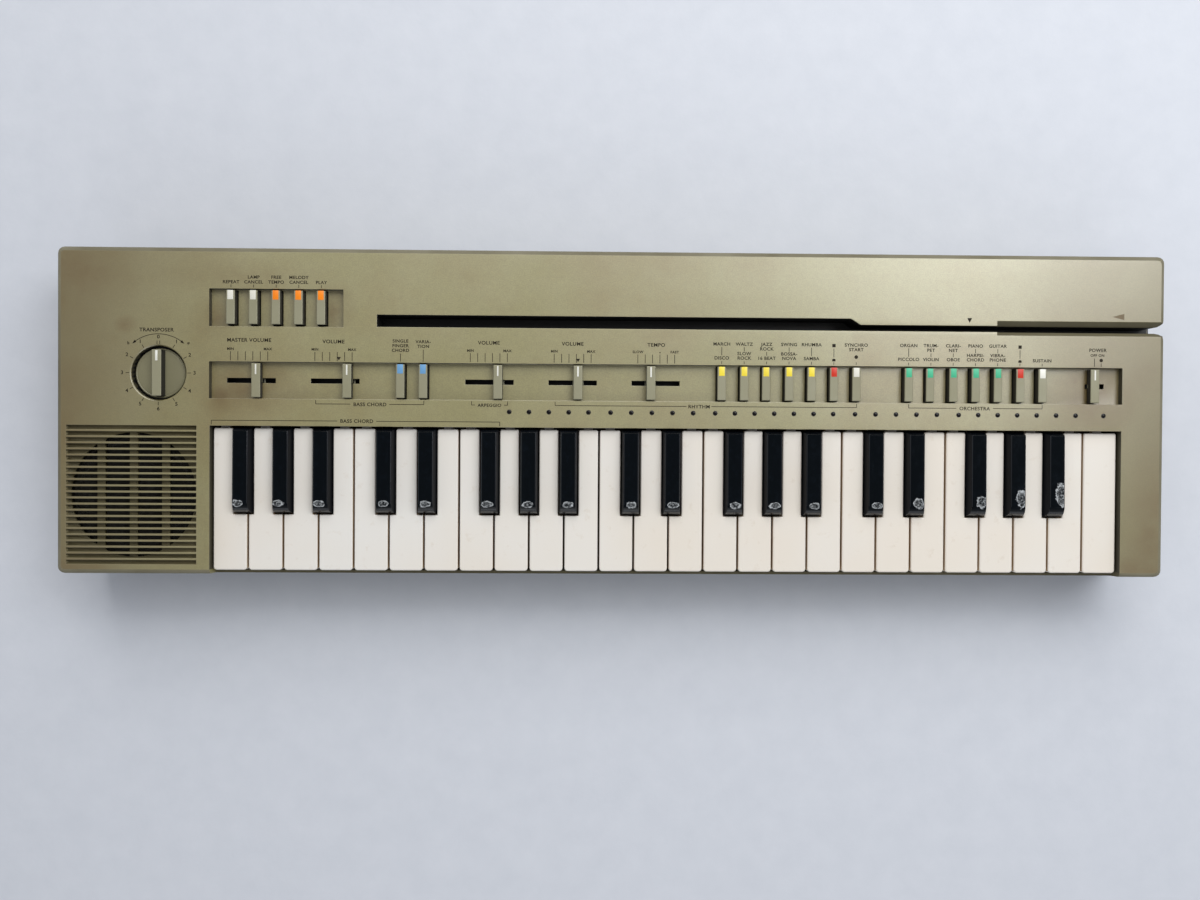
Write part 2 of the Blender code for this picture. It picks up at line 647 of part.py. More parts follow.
def build_upper_case(material):
    shell = bmesh.new()
    loft(shell, upper_shell_rings())
    case = make_object("upper_case", shell, material)
    add_upper_trays(case)
    add_upper_walls(case)
    add_upper_bosses(case)
    cut_key_opening(case)
    cut_recesses(case)
    cut_control_holes(case)
    cut_dial_well(case)
    cut_card_slot(case)
    cut_grille(case)
    cut_rear_sockets(case)
    return case


def lower_shell_rings():
    side = SEAM_STEP
    rings = []
    for angle in (0, 30, 60, 90):
        turn = math.radians(angle)
        rings.append((base_z + BASE_FILLET * (1 - math.cos(turn)),
                      side + BASE_FILLET * (1 - math.sin(turn))))
    inner = side + LOWER_WALL
    rings += [
        (seam_z, side),
        (seam_z, inner - TONGUE_THICKNESS),
        (seam_z + TONGUE_HEIGHT, inner - TONGUE_THICKNESS),
        (seam_z + TONGUE_HEIGHT, inner),
        (floor_z, inner),
    ]
    return rings


def foot_places():
    x = half_width - FOOT_EDGE_MARGIN
    y = half_depth - FOOT_EDGE_MARGIN
    return [(-x, y), (x, y), (-x, -y), (x, -y), (0.0, -y)]


def frame_post_places():
    xs = centred_row((opening_left + opening_right) / 2, FRAME_POST_SPACING_SHARE * opening_width, 4)
    return [(x, y) for x in xs for y in FRAME_POST_Y]


def add_lower_posts(case):
    """Feet, screw bosses and the posts under the key frame."""
    posts = bmesh.new()
    into = base_z + FLOOR_THICKNESS / 2
    for centre in foot_places():
        add_cylinder(posts, centre, FOOT_RADIUS, 0.0, into, 16)
    combine(case, posts, "UNION")
    posts = bmesh.new()
    for centre in case_screws:
        add_cylinder(posts, centre, BOSS_RADIUS + 1 * mm, into, seam_z, 12)
    for centre in frame_post_places():
        add_cylinder(posts, centre, FRAME_POST_RADIUS, into,
                     base_z + FRAME_BASE_HEIGHT - SEAT_GAP, 12)
    combine(case, posts, "UNION")


def cut_screw_holes(case):
    holes = bmesh.new()
    for centre in case_screws:
        add_cylinder(holes, centre, SCREW_HEAD_RADIUS, base_z - 1 * mm, base_z + SCREW_SHELF, 12)
    combine(case, holes, "DIFFERENCE")
    holes = bmesh.new()
    for centre in case_screws:
        add_cylinder(holes, centre, SCREW_SHANK_RADIUS, base_z + SCREW_SHELF - 1 * mm,
                     seam_z + 1 * mm, 8)
    combine(case, holes, "DIFFERENCE")


def add_battery_box(case):
    """Compartment that stands on the floor and opens underneath."""
    left = battery_x - BATTERY_WIDTH / 2
    right = battery_x + BATTERY_WIDTH / 2
    rear = BATTERY_FRONT + BATTERY_DEPTH
    roof = floor_z + BATTERY_HEIGHT
    box = bmesh.new()
    add_box(box, (left - BATTERY_WALL, BATTERY_FRONT - BATTERY_WALL, base_z + FLOOR_THICKNESS / 2),
            (right + BATTERY_WALL, rear + BATTERY_WALL, roof + BATTERY_WALL))
    combine(case, box, "UNION")
    inside = bmesh.new()
    add_box(inside, (left, BATTERY_FRONT, base_z - 1 * mm), (right, rear, roof))
    combine(case, inside, "DIFFERENCE")
    # channel that the cover slides in, out through the rear wall
    beyond = half_depth + WALL_DRAFT + 5 * mm
    wide = COVER_TONGUE + SEAT_GAP
    ledge = base_z + COVER_THICKNESS - COVER_TONGUE_THICKNESS - SEAT_GAP
    groove_top = base_z + COVER_THICKNESS + SEAT_GAP
    channel = bmesh.new()
    add_box(channel, (left - SEAT_GAP, BATTERY_FRONT - SEAT_GAP, base_z - 1 * mm),
            (right + SEAT_GAP, beyond, groove_top))
    combine(case, channel, "DIFFERENCE")
    groove = bmesh.new()
    add_box(groove, (left - wide - SEAT_GAP, BATTERY_FRONT - SEAT_GAP, ledge),
            (right + wide + SEAT_GAP, beyond, groove_top))
    combine(case, groove, "DIFFERENCE")
    notch = bmesh.new()
    notch_front = half_depth + WALL_DRAFT - SEAM_STEP - LOWER_WALL - 1 * mm
    add_box(notch, (left - SEAT_GAP, notch_front, base_z + 1 * mm),
            (right + SEAT_GAP, beyond, base_z + COVER_LIP_HEIGHT + SEAT_GAP))
    combine(case, notch, "DIFFERENCE")


def build_lower_case(material):
    shell = bmesh.new()
    loft(shell, lower_shell_rings())
    case = make_object("lower_case", shell, material)
    add_lower_posts(case)
    add_battery_box(case)
    cut_screw_holes(case)
    return case


def build_battery_cover(material):
    """Flat cover with side tongues, a lip at the rear and grip ridges."""
    left = battery_x - BATTERY_WIDTH / 2
    right = battery_x + BATTERY_WIDTH / 2
    rear = half_depth + WALL_DRAFT - SEAM_STEP
    top = base_z + COVER_THICKNESS
    plate = bmesh.new()
    add_box(plate, (left, BATTERY_FRONT, base_z), (right, rear - BASE_FILLET / 2, top))
    cover = make_object("battery_cover", plate, material)
    tongues = bmesh.new()
    add_box(tongues, (left - COVER_TONGUE, BATTERY_FRONT, top - COVER_TONGUE_THICKNESS),
            (right + COVER_TONGUE, rear - LOWER_WALL, top))
    combine(cover, tongues, "UNION")
    lip = bmesh.new()
    add_box(lip, (left, rear - COVER_LIP_THICKNESS, base_z + BASE_FILLET / 2),
            (right, rear, base_z + COVER_LIP_HEIGHT))
    combine(cover, lip, "UNION")
    grip = bmesh.new()
    first = rear - 16 * mm - COVER_GRIP_COUNT * COVER_GRIP_PITCH
    for index in range(COVER_GRIP_COUNT):
        y = first + index * COVER_GRIP_PITCH
        add_box(grip, (battery_x - COVER_GRIP_LENGTH / 2, y, base_z - 1 * mm),
                (battery_x + COVER_GRIP_LENGTH / 2, y + COVER_GRIP_WIDTH,
                 base_z + COVER_GRIP_DEPTH))
    combine(cover, grip, "DIFFERENCE")
    return cover


# Inside

def build_key_frame(material):
    """Tray under the keys: stop rail, contact strip and pivot rail in one section."""
    low = base_z + FRAME_BASE_HEIGHT
    top = low + FRAME_PLATE
    front = key_front + 1.2 * mm
    stop_top = top + STOP_RISE
    strip_front = CONTACT_STRIP_Y - CONTACT_STRIP_DEPTH / 2
    strip_rear = CONTACT_STRIP_Y + CONTACT_STRIP_DEPTH / 2
    rail_front = pivot_y - RAIL_FRONT
    rail_rear = rail_front + RAIL_DEPTH
    rail_top = arm_z - arm_height() / 2 - SEAT_GAP
    wall_front = rail_rear - RAIL_BACK_WALL
    section = [
        (front, low), (front, stop_top), (front + STOP_DEPTH, stop_top),
        (front + STOP_DEPTH, top), (strip_front, top),
        (strip_front, top + CONTACT_STRIP_RISE), (strip_rear, top + CONTACT_STRIP_RISE),
        (strip_rear, top), (rail_front, top), (rail_front, rail_top),
        (wall_front, rail_top), (wall_front, rail_top + RAIL_BACK_RISE),
        (rail_rear, rail_top + RAIL_BACK_RISE), (rail_rear, low),
    ]
    left = opening_left + FRAME_SIDE_GAP
    right = opening_right - FRAME_SIDE_GAP
    bm = bmesh.new()
    face = bm.faces.new([bm.verts.new((left, y, z)) for y, z in section])
    extruded = bmesh.ops.extrude_face_region(bm, geom=[face])
    moved = [item for item in extruded["geom"] if isinstance(item, bmesh.types.BMVert)]
    bmesh.ops.translate(bm, verts=moved, vec=(right - left, 0.0, 0.0))
    return make_object("key_frame", bm, material)


def build_speaker(material):
    """Turned basket, cone and magnet, hung under the baffle."""
    x, y = grille_centre
    top = panel_z - SLOT_DEPTH - BAFFLE_THICKNESS - SEAT_GAP
    back = top - SPEAKER_BASKET_DEPTH
    profile = [
        (0.0, top - SPEAKER_CONE_DEPTH + 2.4 * mm),
        (SPEAKER_CAP_RADIUS * 0.6, top - SPEAKER_CONE_DEPTH + 1.8 * mm),
        (SPEAKER_CAP_RADIUS, top - SPEAKER_CONE_DEPTH),
        (SPEAKER_CONE_RADIUS - 4 * mm, top - 2.4 * mm),
        (SPEAKER_CONE_RADIUS - 2 * mm, top - 0.6 * mm),
        (SPEAKER_CONE_RADIUS, top - 1.6 * mm),
        (SPEAKER_CONE_RADIUS + 1 * mm, top),
        (SPEAKER_RADIUS, top),
        (SPEAKER_RADIUS, top - SPEAKER_FLANGE),
        (SPEAKER_CONE_RADIUS, top - SPEAKER_FLANGE - 1 * mm),
        (SPEAKER_MAGNET_RADIUS - 3 * mm, back),
        (SPEAKER_MAGNET_RADIUS, back),
        (SPEAKER_MAGNET_RADIUS, back - SPEAKER_MAGNET_THICKNESS),
        (0.0, back - SPEAKER_MAGNET_THICKNESS),
    ]
    bm = bmesh.new()
    verts = [bm.verts.new((x + radius, y, z)) for radius, z in profile]
    edges = [bm.edges.new(pair) for pair in zip(verts, verts[1:])]
    bmesh.ops.spin(
        bm, geom=verts + edges, cent=(x, y, 0.0), axis=(0.0, 0.0, 1.0),
        angle=math.tau, steps=28, use_merge=True, use_duplicate=False,
    )
    bmesh.ops.remove_doubles(bm, verts=bm.verts, dist=0.05 * mm)
    return make_object("speaker", bm, material, smooth=True)


def build_main_board(material):
    """Circuit board with its switches, slide controls, chips and rear sockets."""
    outline = [
        (board_left, BOARD_FRONT), (board_right, BOARD_FRONT), (board_right, BOARD_REAR),
        (board_wing_right, BOARD_REAR), (board_wing_right, BOARD_WING_REAR),
        (row_left, BOARD_WING_REAR), (row_left, BOARD_REAR), (board_left, BOARD_REAR),
    ]
    bm = bmesh.new()
    add_prism(bm, outline, board_z, board_top)
    board = make_object("main_board", bm, material)
    seat = board_z + BOARD_THICKNESS / 2
    parts = bmesh.new()
    slot_y = (ROW_FRONT + ROW_REAR) / 2
    stem_low = slider_stem_low()
    for middle, _ in slider_places.values():
        reach = SLIDER_SLOT_LENGTH / 2 + POT_OVERHANG
        add_box(parts, (middle - reach, slot_y - POT_DEPTH / 2, seat),
                (middle + reach, slot_y + POT_DEPTH / 2, stem_low - SEAT_GAP))
    reach = POWER_SLOT_LENGTH / 2 + POT_OVERHANG / 2
    add_box(parts, (power_slot_x - reach, slot_y - POT_DEPTH / 2, seat),
            (power_slot_x + reach, slot_y + POT_DEPTH / 2, stem_low - SEAT_GAP))
    card, chord, rhythm, voice = button_places()
    for xs, row_rear in ((card, CARD_ROW_REAR), (chord, ROW_REAR), (rhythm, ROW_REAR),
                         (voice, ROW_REAR)):
        rear = row_rear - CAP_REAR_SETBACK
        add_box(parts, (xs[0] - CAP_WIDTH / 2, rear - SWITCH_DEPTH, seat),
                (xs[-1] + CAP_WIDTH / 2, rear, board_top + SLIDER_FOOT_THICKNESS))
    half = DIAL_SWITCH_SIZE / 2
    add_box(parts, (dial_x - half, DIAL_Y - half + 5 * mm, seat),
            (dial_x + half, DIAL_Y + half, dial_shaft_low() - SEAT_GAP))
    combine(board, parts, "UNION")
    under = bmesh.new()
    for x in (-110 * mm, 100 * mm, 165 * mm):
        add_box(under, (x - 17 * mm, 14 * mm, board_z - CHIP_THICKNESS),
                (x + 17 * mm, 22 * mm, seat))
    sockets = (*jack_xs, power_inlet_x)
    for x in sockets:
        add_box(under, (x - JACK_BLOCK_WIDTH / 2, jack_front(), board_z - JACK_BLOCK_HEIGHT),
                (x + JACK_BLOCK_WIDTH / 2, jack_front() + JACK_BLOCK_DEPTH, seat))
    combine(board, under, "UNION")
    bores = bmesh.new()
    mouth = jack_front() + JACK_BLOCK_DEPTH
    for x in jack_xs:
        add_bore(bores, x, jack_z, JACK_BORE_RADIUS, mouth - JACK_BORE_DEPTH, mouth + 1 * mm)
    add_bore(bores, power_inlet_x, jack_z, POWER_INLET_RADIUS, mouth - 9 * mm, mouth + 1 * mm)
    combine(board, bores, "DIFFERENCE")
    pin = bmesh.new()
    add_bore(pin, power_inlet_x, jack_z, POWER_PIN_RADIUS, mouth - 10 * mm, mouth - 1 * mm, 8)
    combine(board, pin, "UNION")
    return board


def jack_front():
    wall_inner = half_depth - UPPER_WALL
    return wall_inner - 0.4 * mm - JACK_BLOCK_DEPTH


# Controls

def slider_stem_low():
    return board_top + SLIDER_FOOT_THICKNESS


def dial_shaft_low():
    return board_top + SLIDER_FOOT_THICKNESS


def bevel_top(bm, height, offset, segments=1):
    """Round the edges that lie at one height."""
    edges = [edge for edge in bm.edges if all(abs(v.co.z - height) < 1e-6 for v in edge.verts)]
    bmesh.ops.bevel(bm, geom=edges, affect="EDGES", offset=offset, segments=segments,
                    profile=0.5, material=-1)


def build_slider(name, cap_x, material):
    """Cap over the recess, a stem through the slot and a foot under the floor."""
    slot_y = (ROW_FRONT + ROW_REAR) / 2
    rear = ROW_REAR - CAP_REAR_SETBACK + 0.1 * mm
    front = rear - SLIDER_CAP_LENGTH
    cap_low = recess_z + SLIDER_CAP_LIFT
    cap = bmesh.new()
    add_box(cap, (cap_x - SLIDER_CAP_WIDTH / 2, front, cap_low),
            (cap_x + SLIDER_CAP_WIDTH / 2, rear, cap_top))
    bevel_top(cap, cap_top, CAP_EDGE)
    slider = make_object(name, cap, material, pivot=(cap_x, slot_y, recess_z))
    stem = bmesh.new()
    stem_half = SLIDER_SLOT_WIDTH / 2 - SLIDER_STEM_GAP
    add_box(stem, (cap_x - SLIDER_STEM_LENGTH / 2, slot_y - stem_half, slider_stem_low()),
            (cap_x + SLIDER_STEM_LENGTH / 2, slot_y + stem_half, cap_low + 1 * mm))
    combine(slider, stem, "UNION")
    foot = bmesh.new()
    foot_top = tray_z - SEAT_GAP
    add_box(foot, (cap_x - SLIDER_FOOT_WIDTH / 2, slot_y - SLIDER_FOOT_LENGTH / 2,
                   foot_top - SLIDER_FOOT_THICKNESS),
            (cap_x + SLIDER_FOOT_WIDTH / 2, slot_y + SLIDER_FOOT_LENGTH / 2, foot_top))
    combine(slider, foot, "UNION")
    return slider


def build_button_bank(name, xs, row_rear, latched, material):
    """Caps that share a carrier bar under the front part of the recess floor."""
    rear = row_rear - CAP_REAR_SETBACK
    front = rear - CAP_LENGTH
    carrier_top = tray_z - SEAT_GAP
    carrier_low = carrier_top - CARRIER_THICKNESS
    carrier_front = front + 1 * mm
    bm = bmesh.new()
    add_box(bm, (xs[0] - CAP_WIDTH / 2 - 1 * mm, carrier_front, carrier_low),
            (xs[-1] + CAP_WIDTH / 2 + 1 * mm, carrier_front + CARRIER_DEPTH, carrier_top))
    bank = make_object(name, bm, material, pivot=(xs[0], front, carrier_top))
    caps = bmesh.new()
    for index, x in enumerate(xs):
        top = cap_top - (LATCH_DEPTH if index in latched else 0.0)
        cap = bmesh.new()
        add_box(cap, (x - CAP_WIDTH / 2, front, carrier_low + 0.5 * mm),
                (x + CAP_WIDTH / 2, rear, top))
        bevel_top(cap, top, CAP_EDGE)
        piece = bpy.data.meshes.new("cap")
        cap.to_mesh(piece)
        cap.free()
        caps.from_mesh(piece)
        bpy.data.meshes.remove(piece)
    combine(bank, caps, "UNION")
    return bank


def build_transposer_knob(material):
    top = panel_z + DIAL_GRIP_RISE
    disc_low = panel_z - DIAL_WELL_DEPTH + SEAT_GAP
    disc_top = disc_low + DIAL_DISC_THICKNESS
    disc = bmesh.new()
    add_cylinder(disc, (dial_x, DIAL_Y), DIAL_DISC_RADIUS, disc_low, disc_top, FINE_STEPS)
    knob = make_object("transposer_knob", disc, material, pivot=(dial_x, DIAL_Y, disc_low))
    grip = bmesh.new()
    reach = math.sqrt(DIAL_DISC_RADIUS ** 2 - (DIAL_GRIP_WIDTH / 2) ** 2) - 0.1 * mm
    add_box(grip, (dial_x - DIAL_GRIP_WIDTH / 2, DIAL_Y - reach, disc_low + 0.5 * mm),
            (dial_x + DIAL_GRIP_WIDTH / 2, DIAL_Y + reach, top))
    bevel_top(grip, top, DIAL_GRIP_EDGE, 2)
    combine(knob, grip, "UNION")
    shaft = bmesh.new()
    add_cylinder(shaft, (dial_x, DIAL_Y), DIAL_SHAFT_RADIUS, dial_shaft_low(),
                 disc_low + 0.5 * mm, 20)
    combine(knob, shaft, "UNION")
    return knob


# Keys

def arm_height():
    return WHITE_HEIGHT - WHITE_EDGE - 2 * KEY_ARM_INSET


def key_slots():
    """Middle of each black key, with the white keys on its two sides.

    The notes F G A B and C D E share their width equally with the black keys
    between them, as seen at the rear of the keys.
    """
    slots = []
    start = 0
    while start < WHITE_COUNT:
        group = 4 if WHITE_NOTES[start % 7] == "F" else 3
        width = (group * key_pitch - KEY_GAP) / (2 * group - 1)
        left = keys_left + start * key_pitch + KEY_GAP / 2
        for index in range(group - 1):
            white = start + index
            if white + 1 < WHITE_COUNT:
                slots.append((white, left + (2 * index + 1.5) * width))
        start += group
    return slots


def white_outline(index, slots):
    """Plan of a white key: full width in front, narrower beside the black keys."""
    left = keys_left + index * key_pitch + KEY_GAP / 2
    right = left + key_pitch - KEY_GAP
    step_y = black_front - BLACK_CUT_FRONT_GAP
    tail_left = left
    tail_right = right
    for white, middle in slots:
        if white == index:
            tail_right = middle - BLACK_SLOT_WIDTH / 2
        if white + 1 == index:
            tail_left = middle + BLACK_SLOT_WIDTH / 2
    radius = WHITE_FRONT_RADIUS
    small = WHITE_REAR_RADIUS
    points = arc((left + radius, key_front + radius), radius, 180, 270, 3)
    points += arc((right - radius, key_front + radius), radius, 270, 360, 3)
    if tail_right < right:
        points += [(right, step_y), (tail_right, step_y)]
    points += [(tail_right, key_rear - small), (tail_right - small, key_rear)]
    points += [(tail_left + small, key_rear), (tail_left, key_rear - small)]
    if tail_left > left:
        points += [(tail_left, step_y), (left, step_y)]
    return points


def grow_arm(bm, width_limit):
    """Pull the hinge arm out of a key's rear face and round its end."""
    rear_faces = [face for face in bm.faces if face.normal.y > 0.99]
    rear = max(rear_faces, key=lambda face: face.calc_area())
    bmesh.ops.inset_individual(bm, faces=[rear], thickness=KEY_ARM_INSET, depth=0.0)
    middle = rear.calc_center_median()
    arm_width = min(width_limit, 5 * mm)
    for vert in rear.verts:
        vert.co.x = middle.x + math.copysign(arm_width / 2, vert.co.x - middle.x)
        vert.co.z = arm_z + math.copysign(arm_height() / 2, vert.co.z - middle.z)
    extruded = bmesh.ops.extrude_face_region(bm, geom=[rear])
    moved = [item for item in extruded["geom"] if isinstance(item, bmesh.types.BMVert)]
    bmesh.ops.translate(bm, verts=moved, vec=(0.0, KEY_ARM_LENGTH, 0.0))
    if rear.is_valid and rear not in extruded["geom"]:
        bm.faces.remove(rear)
    ends = [edge for edge in bm.edges
            if all(v in moved for v in edge.verts)
            and abs(edge.verts[0].co.z - edge.verts[1].co.z) < 1e-6]
    bmesh.ops.bevel(bm, geom=ends, affect="EDGES", offset=arm_height() * 0.45, segments=2,
                    profile=0.5, material=-1)


def hollow_underside(bm, roof):
    """Hollow the solid key from underneath, up to the given height."""
    low = min(bm.faces, key=lambda face: face.calc_center_median().z)
    bmesh.ops.inset_region(bm, faces=[low], thickness=KEY_SHELL_SIDE, depth=0.0,
                           use_even_offset=True)
    extruded = bmesh.ops.extrude_face_region(bm, geom=[low])
    moved = [item for item in extruded["geom"] if isinstance(item, bmesh.types.BMVert)]
    for vert in moved:
        vert.co.z = roof
    if low.is_valid:
        bm.faces.remove(low)


def build_white_key(index, slots, material):
    bm = bmesh.new()
    add_prism(bm, white_outline(index, slots), key_z - WHITE_HEIGHT, key_z)
    bevel_top(bm, key_z, WHITE_EDGE)
    bm.normal_update()
    bmesh.ops.recalc_face_normals(bm, faces=bm.faces)
    grow_arm(bm, 5 * mm)
    x = keys_left + (index + 0.5) * key_pitch
    return make_object(f"white_key_{index + 1:02d}", bm, material, pivot=(x, pivot_y, arm_z))


def build_black_key(number, x, material):
    low = key_z - BLACK_SKIRT
    top = key_z + BLACK_RISE
    bm = bmesh.new()
    add_box(bm, (x - BLACK_WIDTH / 2, black_front, low), (x + BLACK_WIDTH / 2, key_rear, key_z))
    roof = [face for face in bm.faces if face.normal.z > 0.99]
    extruded = bmesh.ops.extrude_face_region(bm, geom=roof)
    moved = [item for item in extruded["geom"] if isinstance(item, bmesh.types.BMVert)]
    for vert in moved:
        vert.co.z = top
        vert.co.x = x + math.copysign(BLACK_TOP_WIDTH / 2, vert.co.x - x)
        if vert.co.y < (black_front + key_rear) / 2:
            vert.co.y = black_front + BLACK_FRONT_SLOPE
    for face in roof:
        if face.is_valid:
            bm.faces.remove(face)
    nose = [edge for edge in bm.edges
            if all(abs(v.co.z - top) < 1e-6 and v.co.y < black_front + 2 * BLACK_FRONT_SLOPE
                   for v in edge.verts)]
    bmesh.ops.bevel(bm, geom=nose, affect="EDGES", offset=BLACK_FRONT_ROUND, segments=3,
                    profile=0.5, material=-1)
    bm.normal_update()
    sides = [edge for edge in bm.edges
             if all(v.co.z > key_z + 1 * mm for v in edge.verts)
             and edge.calc_face_angle(0.0) > math.radians(50)
             and abs(edge.verts[0].co.x - edge.verts[1].co.x) < 1e-6]
    bmesh.ops.bevel(bm, geom=sides, affect="EDGES", offset=BLACK_EDGE, segments=2,
                    profile=0.5, material=-1)
    bmesh.ops.recalc_face_normals(bm, faces=bm.faces)
    grow_arm(bm, 5 * mm)
    hollow_underside(bm, key_z - BLACK_SHELL_TOP)
    return make_object(f"black_key_{number:02d}", bm, material, pivot=(x, pivot_y, arm_z))


def build_keys(white_material, black_material):
    slots = key_slots()
    for index in range(WHITE_COUNT):
        build_white_key(index, slots, white_material)
    for number, (_, x) in enumerate(slots, start=1):
        build_black_key(number, x, black_material)


def build():
    for item in list(bpy.data.objects):
        bpy.data.objects.remove(item)
    champagne = make_material("champagne_paint", (0.34, 0.31, 0.17), 0.42, 0.35)
    dark_plastic = make_material("dark_brown_plastic", (0.035, 0.03, 0.025), 0.55)
    cap_plastic = make_material("grey_green_caps", (0.27, 0.27, 0.21), 0.45)
    ivory = make_material("ivory_keys", (0.78, 0.75, 0.69), 0.35)
    ebony = make_material("black_keys", (0.012, 0.013, 0.015), 0.12)
    frame_plastic = make_material("key_frame_plastic", (0.08, 0.08, 0.075), 0.6)
    board_material = make_material("circuit_board", (0.16, 0.20, 0.06), 0.5)
    cone_paper = make_material("speaker_cone", (0.02, 0.02, 0.02), 0.85)
    build_upper_case(champagne)
    build_lower_case(dark_plastic)
    build_battery_cover(dark_plastic)
    build_key_frame(frame_plastic)
    build_speaker(cone_paper)
    build_main_board(board_material)
    build_transposer_knob(cap_plastic)
    for name, (_, cap_x) in slider_places.items():
        build_slider(name, cap_x, cap_plastic)
    build_slider("power_slider", power_slot_x + POWER_CAP_OFFSET, cap_plastic)
    card, chord, rhythm, voice = button_places()
    build_button_bank("card_buttons", card, CARD_ROW_REAR, (), cap_plastic)
    build_button_bank("accompaniment_buttons", chord + rhythm, ROW_REAR,
                      (CHORD_BUTTON_COUNT + RHYTHM_LATCHED,), cap_plastic)
    build_button_bank("voice_buttons", voice, ROW_REAR, (VOICE_LATCHED,), cap_plastic)
    build_keys(ivory, ebony)


build()
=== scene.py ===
import math

import bmesh
import bpy
from mathutils import Matrix, Vector


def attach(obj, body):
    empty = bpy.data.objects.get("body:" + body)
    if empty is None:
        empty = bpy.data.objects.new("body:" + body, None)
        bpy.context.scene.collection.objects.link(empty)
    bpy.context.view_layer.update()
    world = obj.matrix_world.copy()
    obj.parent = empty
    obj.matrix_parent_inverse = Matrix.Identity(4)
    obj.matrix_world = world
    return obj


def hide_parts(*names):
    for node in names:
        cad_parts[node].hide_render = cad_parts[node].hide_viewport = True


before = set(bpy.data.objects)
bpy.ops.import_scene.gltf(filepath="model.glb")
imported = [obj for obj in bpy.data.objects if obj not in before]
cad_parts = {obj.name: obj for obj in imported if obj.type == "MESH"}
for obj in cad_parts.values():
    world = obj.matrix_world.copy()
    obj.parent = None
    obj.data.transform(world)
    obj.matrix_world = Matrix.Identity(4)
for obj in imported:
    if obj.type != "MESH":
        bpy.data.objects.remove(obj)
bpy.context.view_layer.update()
mm = 0.001
weld = 0.000002  # points closer than this become one
scene = bpy.context.scene
print("frame loaded")


def srgb(red, green, blue):
    values = []
    for channel in (red, green, blue):
        part = channel / 255
        values.append(part / 12.92 if part <= 0.04045 else ((part + 0.055) / 1.055) ** 2.4)
    return (*values, 1.0)


class Wiring:  # keeps the node wiring of a material or of the sky short
    def __init__(self, owner):
        owner.use_nodes = True
        self.tree = owner.node_tree
        self.coords = self.tree.nodes.new("ShaderNodeTexCoord")

    def node(self, kind, **inputs):
        made = self.tree.nodes.new(kind)
        for key, value in inputs.items():
            made.inputs[key].default_value = value
        return made

    def link(self, start, end):
        self.tree.links.new(start, end)

    def feed(self, value, socket):
        # links a node's output and sets a plain value
        if isinstance(value, bpy.types.NodeSocket):
            self.link(value, socket)
        else:
            socket.default_value = value

    def split(self, vector):
        made = self.node("ShaderNodeSeparateXYZ")
        self.link(vector, made.inputs[0])
        return made.outputs

    def noise(self, scale, detail=4.0, roughness=0.55):
        made = self.node("ShaderNodeTexNoise", Scale=scale, Detail=detail, Roughness=roughness)
        self.link(self.coords.outputs["Object"], made.inputs["Vector"])
        return made.outputs["Fac"]

    def spread(self, value, low, high, outLow=0.0, outHigh=1.0):
        made = self.node("ShaderNodeMapRange", **{"From Min": low, "From Max": high,
                                                  "To Min": outLow, "To Max": outHigh})
        self.link(value, made.inputs["Value"])
        return made.outputs["Result"]

    def mix(self, factor, first, second, kind="MIX"):
        made = self.tree.nodes.new("ShaderNodeMix")
        made.data_type = "RGBA"
        made.blend_type = kind
        self.feed(factor, made.inputs[0])
        self.feed(first, made.inputs[6])
        self.feed(second, made.inputs[7])
        return made.outputs[2]

    def math(self, operation, first, second=0.0):
        made = self.tree.nodes.new("ShaderNodeMath")
        made.operation = operation
        self.feed(first, made.inputs[0])
        self.feed(second, made.inputs[1])
        return made.outputs[0]

    def product(self, first, second):
        return self.math("MULTIPLY", first, second)


class Shader(Wiring):
    def __init__(self, name, roughness=0.5, metallic=0.0):
        self.material = bpy.data.materials.new(name)
        super().__init__(self.material)
        self.surface = self.tree.nodes["Principled BSDF"]
        self.surface.inputs["Roughness"].default_value = roughness
        self.surface.inputs["Metallic"].default_value = metallic

    def colour(self, value):
        self.link(value, self.surface.inputs["Base Color"])

    def rough(self, value):
        self.link(value, self.surface.inputs["Roughness"])

    def bump(self, height, strength, distance):
        made = self.node("ShaderNodeBump", Strength=strength, Distance=distance)
        self.link(height, made.inputs["Height"])
        self.link(made.outputs["Normal"], self.surface.inputs["Normal"])

    def spot(self, place, radii):
        # soft blob round a place, 1 in the middle and 0 outside
        mapping = self.node("ShaderNodeMapping", Location=place, Scale=radii)
        mapping.vector_type = "TEXTURE"
        self.link(self.coords.outputs["Object"], mapping.inputs["Vector"])
        blob = self.node("ShaderNodeTexGradient")
        blob.gradient_type = "SPHERICAL"
        self.link(mapping.outputs["Vector"], blob.inputs["Vector"])
        return blob.outputs["Fac"]


